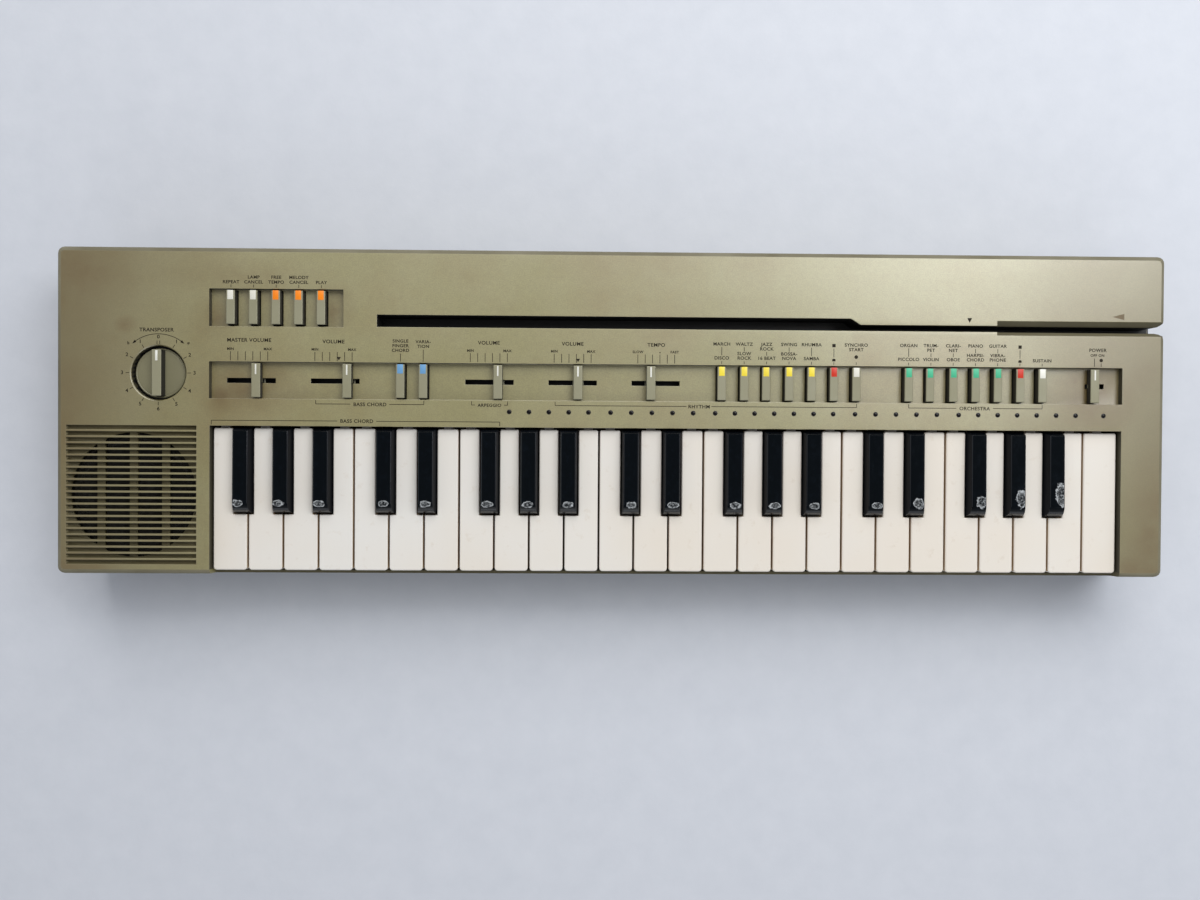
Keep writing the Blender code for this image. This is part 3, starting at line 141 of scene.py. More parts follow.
panelPaint = {
    "base": srgb(139, 132, 87),
    "pale": srgb(149, 142, 103),
    "warm": srgb(120, 101, 50),
    "aged": srgb(96, 82, 40),
    "grime": srgb(98, 74, 20),
    "ends": (0.19, 0.30),  # the yellowing starts and is full here, from the middle
    "ior": 1.8,
    "specular": 0.9,
    "stains": [  # place, radii, strength
        ((-0.196, 0.012, 0.049), (0.036, 0.018, 0.014), 0.9),
        ((-0.212, 0.008, 0.049), (0.014, 0.014, 0.014), 0.9),
        ((0.262, 0.012, 0.049), (0.030, 0.022, 0.014), 1.0),
        ((0.252, 0.020, 0.049), (0.010, 0.012, 0.014), 0.8),
        ((-0.151, 0.056, 0.049), (0.014, 0.016, 0.014), 0.9),
        ((-0.214, 0.050, 0.049), (0.016, 0.014, 0.014), 0.7),
        ((-0.292, 0.074, 0.052), (0.044, 0.034, 0.016), 0.7),
        ((-0.296, -0.020, 0.052), (0.020, 0.060, 0.016), 0.6),
        ((-0.290, -0.084, 0.052), (0.030, 0.016, 0.016), 0.7),
        ((-0.262, 0.046, 0.052), (0.007, 0.006, 0.008), 0.8),
        ((-0.200, 0.072, 0.052), (0.060, 0.010, 0.016), 0.35),
        ((0.294, -0.060, 0.052), (0.020, 0.050, 0.016), 0.7),
        ((0.290, -0.084, 0.052), (0.030, 0.012, 0.016), 0.9),
        ((0.286, 0.022, 0.052), (0.012, 0.014, 0.010), 0.5),
    ],
}


def makePanelPaint():
    paint = Shader("champagnePaint", roughness=0.42, metallic=0.1)
    paint.surface.inputs["IOR"].default_value = panelPaint["ior"]
    paint.surface.inputs["Specular IOR Level"].default_value = panelPaint["specular"]
    cloudy = paint.noise(7.0, 5.0, 0.6)
    flakes = paint.noise(1500.0, 2.0)
    coarse = paint.noise(420.0, 3.0)
    tone = paint.mix(paint.spread(cloudy, 0.35, 0.65), panelPaint["base"], panelPaint["pale"])
    sparkle = paint.spread(flakes, 0.3, 0.7, 0.86, 1.14)
    speckle = paint.spread(coarse, 0.3, 0.7, 0.95, 1.05)
    shade = paint.product(sparkle, speckle)
    grey = paint.node("ShaderNodeCombineColor")
    for channel in range(3):
        paint.link(shade, grey.inputs[channel])
    warmth = paint.spread(paint.noise(13.0, 6.0, 0.62), 0.46, 0.72, 0.0, 0.55)
    toned = paint.mix(1.0, paint.mix(warmth, tone, panelPaint["warm"]), grey.outputs["Color"],
                      "MULTIPLY")
    away = paint.math("ABSOLUTE", paint.split(paint.coords.outputs["Object"])["X"])
    reach = paint.spread(away, *panelPaint["ends"])
    toned = paint.mix(paint.product(reach, paint.spread(cloudy, 0.3, 0.7, 0.5, 0.85)), toned,
                      panelPaint["aged"])
    smudge = paint.noise(60.0, 6.0, 0.65)
    grime = None
    for place, radii, strength in panelPaint["stains"]:
        spot = paint.product(paint.spot(place, radii), strength)
        grime = spot if grime is None else paint.math("MAXIMUM", grime, spot)
    broken = paint.product(grime, paint.spread(smudge, 0.35, 0.62, 0.35, 1.0))
    faint = paint.spread(smudge, 0.56, 0.75, 0.0, 0.14)
    paint.colour(paint.mix(paint.math("MAXIMUM", broken, faint), toned, panelPaint["grime"]))
    paint.rough(paint.spread(cloudy, 0.3, 0.7, 0.35, 0.42))
    paint.bump(flakes, 0.12, 0.00004)
    return paint.material


def makePlastic(name, base, second, roughness, grain=1400.0, depth=0.05, specular=0.5):
    base, second = srgb(*base), srgb(*second)
    plastic = Shader(name, roughness=roughness)
    plastic.surface.inputs["Specular IOR Level"].default_value = specular
    cloudy = plastic.noise(25.0, 5.0, 0.6)
    fine = plastic.noise(grain, 3.0)
    tone = plastic.mix(plastic.spread(cloudy, 0.35, 0.68), base, second)
    plastic.colour(plastic.mix(plastic.spread(fine, 0.35, 0.7, 0.0, 0.12), tone, second))
    plastic.rough(plastic.spread(cloudy, 0.3, 0.7, roughness - 0.06, roughness + 0.06))
    plastic.bump(fine, depth, 0.0002)
    return plastic.material


def makeMetal(name, base, roughness):
    metal = Shader(name, roughness=roughness, metallic=1.0)
    scratches = metal.noise(900.0, 4.0, 0.7)
    metal.colour(metal.mix(metal.spread(scratches, 0.4, 0.7, 0.0, 0.35), srgb(*base),
                           srgb(120, 112, 100)))
    metal.rough(metal.spread(scratches, 0.3, 0.7, roughness, roughness + 0.15))
    metal.bump(scratches, 0.06, 0.0001)
    return metal.material


def makeIvory():
    ivory = Shader("ivoryKeys", roughness=0.33)
    ivory.surface.inputs["Coat Weight"].default_value = 0.15
    ivory.surface.inputs["Coat Roughness"].default_value = 0.2
    wide = ivory.noise(9.0, 3.0)
    fine = ivory.noise(160.0, 5.0, 0.65)
    tone = ivory.mix(ivory.spread(wide, 0.35, 0.65), srgb(222, 219, 213), srgb(220, 212, 200))
    marks = ivory.spread(fine, 0.60, 0.78, 0.0, 0.35)
    ivory.colour(ivory.mix(marks, tone, srgb(188, 170, 146)))
    ivory.rough(ivory.spread(fine, 0.3, 0.7, 0.28, 0.42))
    ivory.bump(fine, 0.04, 0.0002)
    return ivory.material


def makeEbony():
    # glossy black, with a patch of dried residue near the front of each key
    ebony = Shader("ebonyKeys", roughness=0.1)
    ebony.surface.inputs["Specular IOR Level"].default_value = 0.16
    place = ebony.node("ShaderNodeAttribute")  # millimetres from the mark's middle
    place.attribute_name = "keyPlace"
    wobble = ebony.noise(420.0, 2.0)
    apart = ebony.split(place.outputs["Vector"])
    across = ebony.math("DIVIDE", apart["X"], 2.5)
    along = ebony.math("DIVIDE", apart["Y"], 1.5)
    radius = ebony.math("SQRT", ebony.math("ADD", ebony.product(across, across),
                                           ebony.product(along, along)))
    wavy = ebony.math("ADD", radius, ebony.spread(wobble, 0.3, 0.7, -0.26, 0.26))
    dried = ebony.spread(ebony.noise(900.0, 3.0, 0.7), 0.44, 0.6, 0.02, 0.6)
    outer = ebony.math("MAXIMUM", ebony.spread(wavy, 0.78, 0.98), dried)
    inner = ebony.spread(wavy, 1.24, 1.06)
    ring = ebony.product(outer, inner)
    crumbs = ebony.spread(ebony.noise(640.0, 4.0, 0.6), 0.34, 0.56, 0.1, 1.0)
    residue = ebony.product(ebony.product(ring, crumbs), 0.8)
    streaks = ebony.noise(320.0, 5.0, 0.7)
    black = ebony.mix(ebony.spread(streaks, 0.5, 0.75, 0.0, 0.5), srgb(4, 8, 12),
                      srgb(11, 19, 27))
    ebony.colour(ebony.mix(residue, black, srgb(196, 200, 202)))
    ebony.rough(ebony.math("MAXIMUM", ebony.spread(streaks, 0.35, 0.7, 0.06, 0.2),
                           ebony.product(residue, 0.8)))
    return ebony.material


def makeCircuitBoard():
    board = Shader("circuitBoard", roughness=0.4)
    lines = board.node("ShaderNodeTexBrick", Scale=120.0, Color1=srgb(118, 122, 62),
                       Color2=srgb(104, 112, 56), Mortar=srgb(170, 150, 88))
    lines.inputs["Mortar Size"].default_value = 0.012
    board.link(board.coords.outputs["Object"], lines.inputs["Vector"])
    fibre = board.noise(700.0, 4.0)
    board.colour(board.mix(board.spread(fibre, 0.4, 0.7, 0.0, 0.3), lines.outputs["Color"],
                           srgb(80, 84, 40)))
    board.bump(fibre, 0.05, 0.0001)
    return board.material


def makePaper():
    paper = Shader("conePaper", roughness=0.9)
    fibre = paper.noise(500.0, 6.0, 0.7)
    paper.colour(paper.mix(paper.spread(fibre, 0.35, 0.65), srgb(34, 33, 31), srgb(58, 55, 50)))
    paper.bump(fibre, 0.25, 0.0003)
    return paper.material


def makeLamp():
    lamp = Shader("lampLens", roughness=0.12)
    lamp.surface.inputs["Specular IOR Level"].default_value = 0.3
    cloud = lamp.noise(600.0, 2.0)
    lamp.colour(lamp.mix(lamp.spread(cloud, 0.3, 0.7), srgb(16, 11, 10), srgb(9, 8, 8)))
    return lamp.material


champagne = makePanelPaint()
darkCase = makePlastic("darkCasePlastic", (52, 48, 43), (66, 61, 54), 0.55, 900.0, 0.35)
capGrey = makePlastic("capPlastic", (142, 139, 116), (132, 128, 102), 0.42, 1600.0)
grilleShade = makePlastic("grilleShade", (116, 107, 76), (98, 90, 62), 0.6, 900.0, 0.2)
# dark colour of the cap sides; on the dial grip it is painted shade
capSides = makePlastic("capSides", (34, 32, 27), (26, 25, 22), 0.5, 1200.0)
wallShade = makePlastic("wallShade", (62, 58, 42), (52, 48, 34), 0.6, 900.0, 0.2)
# rounded outer edges: a rougher finish, and a darker grey colour that is painted shade
wornRim = makePlastic("wornRim", (118, 113, 92), (98, 92, 70), 0.7, 700.0, 0.2)
# painted shade on the chamfers down into the card slot and on the front lip below the keys
slotFlare = makePlastic("slotFlare", (92, 86, 62), (78, 72, 50), 0.6, 900.0, 0.2)
ebonySides = makePlastic("ebonySides", (9, 11, 15), (14, 16, 21), 0.5, 600.0, specular=0.08)
ebonyEdge = makePlastic("ebonyEdge", (8, 10, 14), (16, 20, 25), 0.25, 600.0)
basketSteel = makeMetal("basketSteel", (46, 45, 43), 0.6)
dialDisc = makePlastic("dialDisc", (122, 118, 92), (112, 108, 82), 0.45, 1200.0)
chipBlack = makePlastic("chipBlack", (26, 26, 26), (36, 35, 34), 0.45, 900.0, 0.1)
# side faces of the white keys: yellowed plastic, darkened further as painted shade in the gaps
# between the keys
ivorySides = makePlastic("ivorySides", (196, 172, 138), (176, 150, 116), 0.5, 700.0, 0.1)
frameTan = makePlastic("keyFramePlastic", (104, 82, 62), (88, 70, 54), 0.6)
# black plastic of the lamp collars and the inlet ring, and painted shade inside the card slot and
# the slots under the recess floors
slotBlack = makePlastic("slotBlack", (20, 20, 19), (30, 29, 27), 0.5)
rubber = makePlastic("footRubber", (33, 33, 34), (46, 45, 44), 0.8, 800.0, 0.4)
inkBrown = makePlastic("printedInk", (32, 26, 18), (42, 34, 23), 0.6, specular=0.2)
inkTan = makePlastic("arrowInk", (112, 97, 72), (100, 86, 62), 0.6)
inkWhite = makePlastic("pointerWhite", (228, 228, 220), (206, 204, 192), 0.45)
tabBlue = makePlastic("tabBlue", (106, 156, 198), (96, 144, 186), 0.4)
tabOrange = makePlastic("tabOrange", (246, 136, 16), (230, 122, 12), 0.4)
tabYellow = makePlastic("tabYellow", (236, 214, 66), (222, 198, 56), 0.4)
tabRed = makePlastic("tabRed", (204, 44, 14), (186, 38, 14), 0.4)
tabGreen = makePlastic("tabGreen", (70, 186, 140), (62, 170, 128), 0.4)
tabWhite = makePlastic("tabWhite", (226, 225, 214), (212, 209, 196), 0.4)
nickel = makeMetal("nickelPlate", (196, 192, 184), 0.28)
zincScrew = makeMetal("zincScrew", (150, 146, 138), 0.38)
ivoryKeys = makeIvory()
ebonyKeys = makeEbony()
boardGreen = makeCircuitBoard()
conePaper = makePaper()
lampLens = makeLamp()
print("materials made")


def addObject(name, data):
    item = bpy.data.objects.new(name, data)
    scene.collection.objects.link(item)
    return item


slant = Vector((1.0, 3.7193, 11.3371))  # sorting direction in which no two places are level


def sortItems(bm):
    # spin and extrude leave another order in each run, so everything is sorted by place
    bm.verts.sort(key=lambda vert: vert.co.dot(slant))
    bm.edges.sort(key=lambda edge: (edge.verts[0].co + edge.verts[1].co).dot(slant))
    bm.faces.sort(key=lambda face: face.calc_center_median().dot(slant))


def meshFrom(bm, name):
    sortItems(bm)
    mesh = bpy.data.meshes.new(name)
    bm.to_mesh(mesh)
    bm.free()
    return mesh


def evaluatedMesh(item):
    # the mesh that a curve, a text or a modifier gives
    bpy.context.view_layer.update()
    graph = bpy.context.evaluated_depsgraph_get()
    return bpy.data.meshes.new_from_object(item.evaluated_get(graph))


def finishPiece(bm, name, material, body, smooth=40, weighted=False):
    bmesh.ops.recalc_face_normals(bm, faces=bm.faces)
    mesh = meshFrom(bm, name)
    mesh.shade_smooth()
    mesh.set_sharp_from_angle(angle=math.radians(smooth))
    piece = addObject(name, mesh)
    for item in material if isinstance(material, tuple) else (material,):
        mesh.materials.append(item)
    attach(piece, body)
    if weighted:
        normals = piece.modifiers.new("flatFaces", "WEIGHTED_NORMAL")
        normals.keep_sharp = True
        normals.weight = 80
    return piece


def copyNode(node, simplify=True):
    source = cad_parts[node]
    bm = bmesh.new()
    bm.from_mesh(source.data)
    bmesh.ops.transform(bm, matrix=source.matrix_world, verts=bm.verts)
    bmesh.ops.remove_doubles(bm, verts=bm.verts, dist=weld)
    if simplify:
        bmesh.ops.dissolve_limit(bm, angle_limit=math.radians(0.5), verts=bm.verts,
                                 edges=bm.edges, use_dissolve_boundaries=False)
    return bm


def bevelEdges(bm, edges, width, segments, **more):
    bmesh.ops.bevel(bm, geom=edges, affect="EDGES", offset=width, segments=segments,
                    profile=0.5, material=-1, **more)


def softenEdges(bm, width, segments=2, angle=35, skip=None):
    # skip is the index of a material whose faces keep their sharp edges
    edges = [edge for edge in bm.edges
             if len(edge.link_faces) == 2 and edge.calc_face_angle(0.0) > math.radians(angle)
             and not (skip is not None
                      and all(face.material_index == skip for face in edge.link_faces))]
    bevelEdges(bm, edges, width, segments, loop_slide=True)


def addBox(bm, low, high, bevel=0.0, segments=2):
    size = Vector(high) - Vector(low)
    middle = (Vector(high) + Vector(low)) / 2
    matrix = Matrix.Translation(middle) @ Matrix.Diagonal((*size, 1.0))
    verts = bmesh.ops.create_cube(bm, size=1.0, matrix=matrix)["verts"]
    if bevel:
        edges = dict.fromkeys(edge for vert in verts for edge in vert.link_edges)
        bevelEdges(bm, list(edges), bevel, segments, clamp_overlap=True)


def turnVerts(bm, verts, angle, axis):
    bmesh.ops.rotate(bm, verts=verts, cent=(0, 0, 0), matrix=Matrix.Rotation(angle, 3, axis))


def turnedShell(centre, profile, steps=48, alongY=False):
    # closed turned shape as its own bmesh, profile in millimetres, moved to its place
    bm = bmesh.new()
    verts = [bm.verts.new((radius * mm, 0.0, height * mm)) for radius, height in profile]
    edges = [bm.edges.new(pair) for pair in zip(verts, verts[1:])]
    bmesh.ops.spin(bm, geom=verts + edges, cent=(0, 0, 0), axis=(0, 0, 1), angle=math.tau,
                   steps=steps, use_merge=True, use_duplicate=False)
    bmesh.ops.remove_doubles(bm, verts=bm.verts, dist=weld)
    bmesh.ops.recalc_face_normals(bm, faces=bm.faces)
    if alongY:
        turnVerts(bm, bm.verts, math.radians(-90), "X")
    bmesh.ops.translate(bm, verts=bm.verts, vec=centre)
    return bm


def takeMesh(bm, mesh):
    bm.from_mesh(mesh)
    bpy.data.meshes.remove(mesh)


def addMesh(bm, other):
    # puts one bmesh into another and frees it
    takeMesh(bm, meshFrom(other, "part"))


# camera where the photograph was taken from, lamps and floor

cameraSettings = {
    "lens": 27.55, "panelHeight": 0.052,
    "turn": (0.0099, 0.0174, -0.0061), "move": (0.008616, 0.019617, -0.49456),
}


def makeCamera():
    x, y, z = cameraSettings["turn"]
    turn = Matrix.Rotation(z, 3, "Z") @ Matrix.Rotation(y, 3, "Y") @ Matrix.Rotation(x, 3, "X")
    back = turn.transposed()
    data = bpy.data.cameras.new("camera")
    data.lens = cameraSettings["lens"]
    data.clip_start = 0.01
    camera = addObject("camera", data)
    place = back @ -Vector(cameraSettings["move"])
    place.z += cameraSettings["panelHeight"]
    camera.matrix_world = Matrix.Translation(place) @ back.to_4x4()
    scene.camera = camera


lampSettings = {
    "sky": {"place": (-0.05, 1.3, 1.3), "size": 1.2, "power": 18.5,
            "tint": (1.0, 0.985, 0.96)},
    "window": {"place": (0.62, 0.45, 1.0), "size": 0.6, "power": 6.6,
               "tint": (0.97, 0.985, 1.0)},
    "fill": {"place": (0.0, -1.4, 0.8), "size": 0.8, "power": 3.0,
             "tint": (1.0, 1.0, 1.0)},
}
roomSettings = {
    "horizon": (0.86, 0.90, 0.96, 1.0),
    "zenith": (0.26, 0.26, 0.27, 1.0),
    "heights": (0.35, 0.95), "strength": 0.8,
}


def makeLamps():
    for name, settings in lampSettings.items():
        data = bpy.data.lights.new(name, "AREA")
        data.size = settings["size"]
        data.energy = settings["power"]
        data.color = settings["tint"]
        lamp = addObject(name, data)
        lamp.location = settings["place"]
        aim = Vector((0.0, 0.0, 0.04)) - lamp.location
        lamp.rotation_euler = aim.to_track_quat("-Z", "Y").to_euler()
    scene.world = bpy.data.worlds.new("studio")
    sky = Wiring(scene.world)
    height = sky.split(sky.coords.outputs["Generated"])["Z"]
    ramp = sky.spread(height, *roomSettings["heights"])
    ramp.node.interpolation_type = "SMOOTHSTEP"
    tint = sky.mix(ramp, roomSettings["horizon"], roomSettings["zenith"])
    background = sky.tree.nodes["Background"]
    sky.link(tint, background.inputs["Color"])
    background.inputs["Strength"].default_value = roomSettings["strength"]
    scene.view_settings.view_transform = "Standard"


def makeFloor():
    floor = bmesh.new()
    bmesh.ops.create_grid(floor, x_segments=1, y_segments=1, size=4.0)
    mesh = meshFrom(floor, "floor")
    plaster = Shader("floorPaint", roughness=0.75)
    grain = plaster.noise(55.0, 5.0, 0.6)
    plaster.colour(plaster.mix(grain, srgb(194, 198, 206), srgb(206, 209, 216)))
    plaster.bump(grain, 0.12, 0.002)
    mesh.materials.append(plaster.material)
    addObject("floor", mesh)


makeCamera()
makeLamps()
makeFloor()
print("camera, lamps and floor made")


# upper case: the solid with softened edges; its slot, grille, recess walls, slot chamfers, front
# lip and rims get painted shade

upperSettings = {  # lowest and highest x, y and z of the places, in metres
    "edge": 0.22 * mm,
    "outer": (296.0 * mm, 85.0 * mm),  # the rims lie further out than this
    "slot": ((-128.8 * mm, 1.0), (45.4 * mm, 52.3 * mm), (35.4 * mm, 51.0 * mm)),
    "grille": ((-294.3 * mm, -223.3 * mm), (-84.6 * mm, -5.6 * mm), (43.0 * mm, 51.9 * mm)),
    "recess": ((-1.0, 1.0), (6.0 * mm, 66.0 * mm), (-1.0, 48.4 * mm)),
    "flare": ((186.0 * mm, 1.0), (43.0 * mm, 55.0 * mm), (-1.0, 1.0)),
    "lip": ((-215.0 * mm, 275.0 * mm), (-1.0, -83.5 * mm), (-1.0, 1.0)),
}


def isInner(place):
    width, depth = upperSettings["outer"]
    return abs(place.x) < width and abs(place.y) < depth


def makeUpperCase():
    settings = upperSettings
    paints = (champagne, slotBlack, grilleShade, wallShade, wornRim, slotFlare)
    bm = copyNode("upper_case", simplify=False)
    for face in bm.faces:
        place = face.calc_center_median()
        x, y, z = face.normal
        inside = {name for name in ("slot", "grille", "recess", "flare", "lip")
                  if all(low < value < high for value, (low, high) in zip(place, settings[name]))}
        inner = isInner(place)
        flat = abs(x) > 0.9 or abs(y) > 0.9 or z > 0.9
        slanted = abs(x) > 0.3 and abs(y) > 0.3 and abs(z) < 0.1
        paint = champagne
        # painted shade: the faces inside the card slot are coloured black
        if "slot" in inside and (flat or slanted):
            paint = slotBlack
        elif "grille" in inside:
            paint = grilleShade
        # painted shade: the walls of the slider slots and button holes below the recess floors are
        # coloured black
        elif inner and "recess" in inside:
            paint = slotBlack
        # painted shade on the chamfers down into the card slot
        elif "flare" in inside and 0.3 < z < 0.95:
            paint = slotFlare
        elif inner and abs(z) < 0.3:
            paint = wallShade
        # painted shade on the front lip below the keys
        elif "lip" in inside and y > -0.5:
            paint = slotFlare
        face.material_index = paints.index(paint)
    softenEdges(bm, settings["edge"], skip=paints.index(grilleShade))
    bm.normal_update()
    for face in bm.faces:
        # painted shade: the rounded outer edges get the darker grey rim colour
        rim = 0.1 < face.normal.z < 0.98 and not isInner(face.calc_center_median())
        if rim and face.material_index == 0:
            face.material_index = paints.index(wornRim)
    piece = finishPiece(bm, "upperShell", paints, "case", smooth=50,
                        weighted=True)
    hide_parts("upper_case")


# lower case: softened copy, rubber feet, screws, battery contacts

lowerSettings = {
    "edge": 0.35 * mm,
    "footHeight": 1.9 * mm,
    "screws": ((-290.5, -79.0), (-225.5, -80.0), (285.5, -79.0), (285.5, 0.0), (-291.0, 3.0),
               (-289.0, 78.0), (-112.0, 79.0), (110.0, 79.0), (287.0, 78.0)),
    "screwSeat": 7.0 * mm,
}


def makeLowerCase():
    bm = copyNode("lower_case", simplify=False)
    for face in bm.faces:
        if face.calc_center_median().z < lowerSettings["footHeight"]:
            face.material_index = 1
    softenEdges(bm, lowerSettings["edge"])
    piece = finishPiece(bm, "lowerShell", (darkCase, rubber), "case",
                        smooth=50, weighted=True)
    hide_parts("lower_case")


def makeBatteryCover():
    bm = copyNode("battery_cover")
    softenEdges(bm, 0.18 * mm)
    piece = finishPiece(bm, "batteryLid", darkCase, "battery_cover",
                        smooth=50, weighted=True)
    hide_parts("battery_cover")


def screwHead():
    # head seen from below, with a cross cut into it
    profile = ((0.0, 0.0), (2.3, 0.0), (2.3, -0.9), (1.9, -1.45), (1.1, -1.7), (0.0, -1.75))
    piece = addObject("screwHead", meshFrom(turnedShell((0, 0, 0), profile, 32), "screwHead"))
    for size in ((0.36 * mm, 1.35 * mm), (1.35 * mm, 0.36 * mm)):
        cross = bmesh.new()
        addBox(cross, (-size[0], -size[1], -3 * mm), (size[0], size[1], -1.0 * mm))
        tool = addObject("cross", meshFrom(cross, "cross"))
        cut = piece.modifiers.new("cut", "BOOLEAN")
        cut.operation = "DIFFERENCE"
        cut.solver = "EXACT"
        cut.object = tool
        result = evaluatedMesh(piece)
        piece.modifiers.clear()
        piece.data = result
        bpy.data.objects.remove(tool)
    mesh = piece.data
    bpy.data.objects.remove(piece)
    return mesh


def makeScrews():
    head = screwHead()
    bm = bmesh.new()
    for index, (x, y) in enumerate(lowerSettings["screws"]):
        first = len(bm.verts)
        bm.from_mesh(head)
        bm.verts.ensure_lookup_table()
        made = bm.verts[first:]
        turnVerts(bm, made, 0.5 + index * 0.9, "Z")
        bmesh.ops.translate(bm, verts=made, vec=(x * mm, y * mm, lowerSettings["screwSeat"]))
    finishPiece(bm, "caseScrews", zincScrew, "case", smooth=30)
    bpy.data.meshes.remove(head)


batterySettings = {
    "left": -88.0 * mm, "right": 68.0 * mm, "rows": (38.5 * mm, 65.5 * mm),
    "height": 18.0 * mm, "plate": 15.0 * mm, "thick": 0.5 * mm,
    "springRadius": 5.0 * mm, "springLength": 7.0 * mm, "springTurns": 5, "wire": 0.45 * mm,
}


def springCoil(x, y, z, direction):
    settings = batterySettings
    curve = bpy.data.curves.new("contactSpring", "CURVE")
    curve.dimensions = "3D"
    curve.bevel_depth = settings["wire"]
    curve.bevel_resolution = 2
    curve.use_fill_caps = True
    count = settings["springTurns"] * 14
    line = curve.splines.new("POLY")
    line.points.add(count)
    for step, point in enumerate(line.points):
        along = step / count
        angle = along * settings["springTurns"] * math.tau
        radius = settings["springRadius"] * (1.0 - 0.5 * along)
        point.co = (x + direction * (settings["wire"] + along * settings["springLength"]),
                    y + radius * math.cos(angle), z + radius * math.sin(angle), 1.0)
    coil = addObject("contactSpring", curve)
    mesh = evaluatedMesh(coil)
    bpy.data.objects.remove(coil)
    return mesh


def makeBatteryContacts():
    settings = batterySettings
    bm = bmesh.new()
    half = settings["plate"] / 2
    for index, y in enumerate(settings["rows"]):
        for side, x in ((1, settings["left"]), (-1, settings["right"])):
            inner = x + side * settings["thick"]
            low = (min(x, inner), y - half, settings["height"] - half)
            high = (max(x, inner), y + half, settings["height"] + half)
            addBox(bm, low, high, 0.12 * mm, 1)
            if (index == 0) == (side == 1):
                takeMesh(bm, springCoil(inner, y, settings["height"], side))
            else:
                addMesh(bm, contactDimple(inner, y, settings["height"], side))
    finishPiece(bm, "batteryContacts", nickel, "case")


def contactDimple(x, y, z, side):
    dimple = turnedShell((0, 0, 0), ((0.0, 0.9), (1.8, 0.8), (2.6, 0.3), (2.8, -0.1),
                                     (0.0, -0.1)), 24)
    turnVerts(dimple, dimple.verts, side * math.radians(90), "Y")
    bmesh.ops.translate(dimple, verts=dimple.verts, vec=(x, y, z))
    return dimple


socketSettings = {
    "audio": (-206.0 * mm, -184.0 * mm), "inlet": -160.0 * mm,
    "rear": 84.4 * mm, "height": 30.0 * mm,
    "bush": ((3.2, 0.0), (3.2, 3.9), (3.35, 4.05), (3.75, 4.05), (3.9, 3.9), (3.9, 0.0),
             (3.2, 0.0)),
    "ring": ((2.7, 0.0), (2.7, 3.4), (2.9, 3.6), (3.45, 3.6), (3.6, 3.4), (3.6, 0.0),
             (2.7, 0.0)),
}


def makeSockets():
    # nickel bushes of the two audio sockets and a black one round the power inlet
    y, z = socketSettings["rear"], socketSettings["height"]
    bm = bmesh.new()
    for x in socketSettings["audio"]:
        addMesh(bm, turnedShell((x, y, z), socketSettings["bush"], 40, alongY=True))
    finishPiece(bm, "socketBushes", nickel, "case")
    ring = turnedShell((socketSettings["inlet"], y, z), socketSettings["ring"], 40, alongY=True)
    finishPiece(ring, "inletRing", slotBlack, "case")


# inside: speaker, board and key frame

speakerSettings = {"centre": (-258.8 * mm, -45.1 * mm), "top": 47.1 * mm, "steps": 72}


def makeSpeaker():
    x, y = speakerSettings["centre"]
    top = speakerSettings["top"]
    profile = [(0.0, -6.4)]
    profile += [(9.0 * math.sin(a), -6.4 - 2.6 * (1 - math.cos(a))) for a in (0.4, 0.8, 1.2, 1.5)]
    profile += [(10.0, -9.0), (27.0, -2.5), (27.6, -1.6), (28.4, -0.9), (29.2, -0.9),
                (30.0, -1.7), (31.0, -1.7), (31.6, -0.1), (32.4, 0.0), (35.6, 0.0),
                (35.9, -0.3), (35.9, -1.9), (35.6, -2.1), (31.0, -3.2), (18.0, -12.0),
                (19.6, -12.1), (20.0, -12.5), (20.0, -20.4), (19.6, -20.9), (0.0, -20.9)]
    bm = turnedShell((x, y, top), profile, speakerSettings["steps"])
    for face in bm.faces:
        place = face.calc_center_median() - Vector((x, y, top))
        if place.z < -1.0 * mm and face.normal.z < 0.2 or place.xy.length > 32.0 * mm:
            face.material_index = 1
    piece = finishPiece(bm, "speakerUnit", (conePaper, basketSteel), "case",
                        smooth=35)
    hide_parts("speaker")


boardSettings = (35.8 * mm, 37.7 * mm)  # underside and top of the laminate


def makeInside():
    for node, name, material, slotName in (
            ("key_frame", "keyRails", (frameTan,), "frame_plastic"),
            ("main_board", "controlBoard", (boardGreen, chipBlack), "circuit_board")):
        bm = copyNode(node, simplify=False)
        low, high = boardSettings
        for face in bm.faces:
            if node == "main_board" and not low < face.calc_center_median().z < high:
                face.material_index = 1
        softenEdges(bm, 0.2 * mm, 1)
        piece = finishPiece(bm, name, material, "case", smooth=50, weighted=True)
        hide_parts(node)


# keys

whiteSettings = {"count": 26, "pitch": 18.9, "gap": 1.0, "left": 28.8 - 26 * 18.9 / 2,
                 "notes": "FGABCDE", "edge": 0.22 * mm, "shoulder": 48.3 * mm}
blackSettings = {
    "width": 9.8 * mm, "topWidth": 7.9 * mm, "front": -54.7 * mm, "rear": -8.9 * mm,
    "low": 42.0 * mm, "shoulder": 49.0 * mm, "top": 54.5 * mm, "slope": 2.4 * mm, "back": 1.7 * mm,
    "nose": 3.4 * mm, "edge": 1.0 * mm, "crisp": 0.3 * mm,
    "arm": (5.0 * mm, 11.6 * mm, 42.8 * mm, 45.7 * mm),
    "markShift": (-1.4, -1.2, -0.6, -0.3, -0.2, -0.8, -0.4, -0.2, 0.2, 0.4, 0.3, 0.2, 0.6, 0.8,
                  1.0, 1.4, 1.8, 2.0),
    "markLength": (1.9,) * 13 + (2.1, 3.1, 3.8, 5.1, 6.9),
    "markPlace": (5.6, 2.6),  # from the front, and further for a longer mark
}


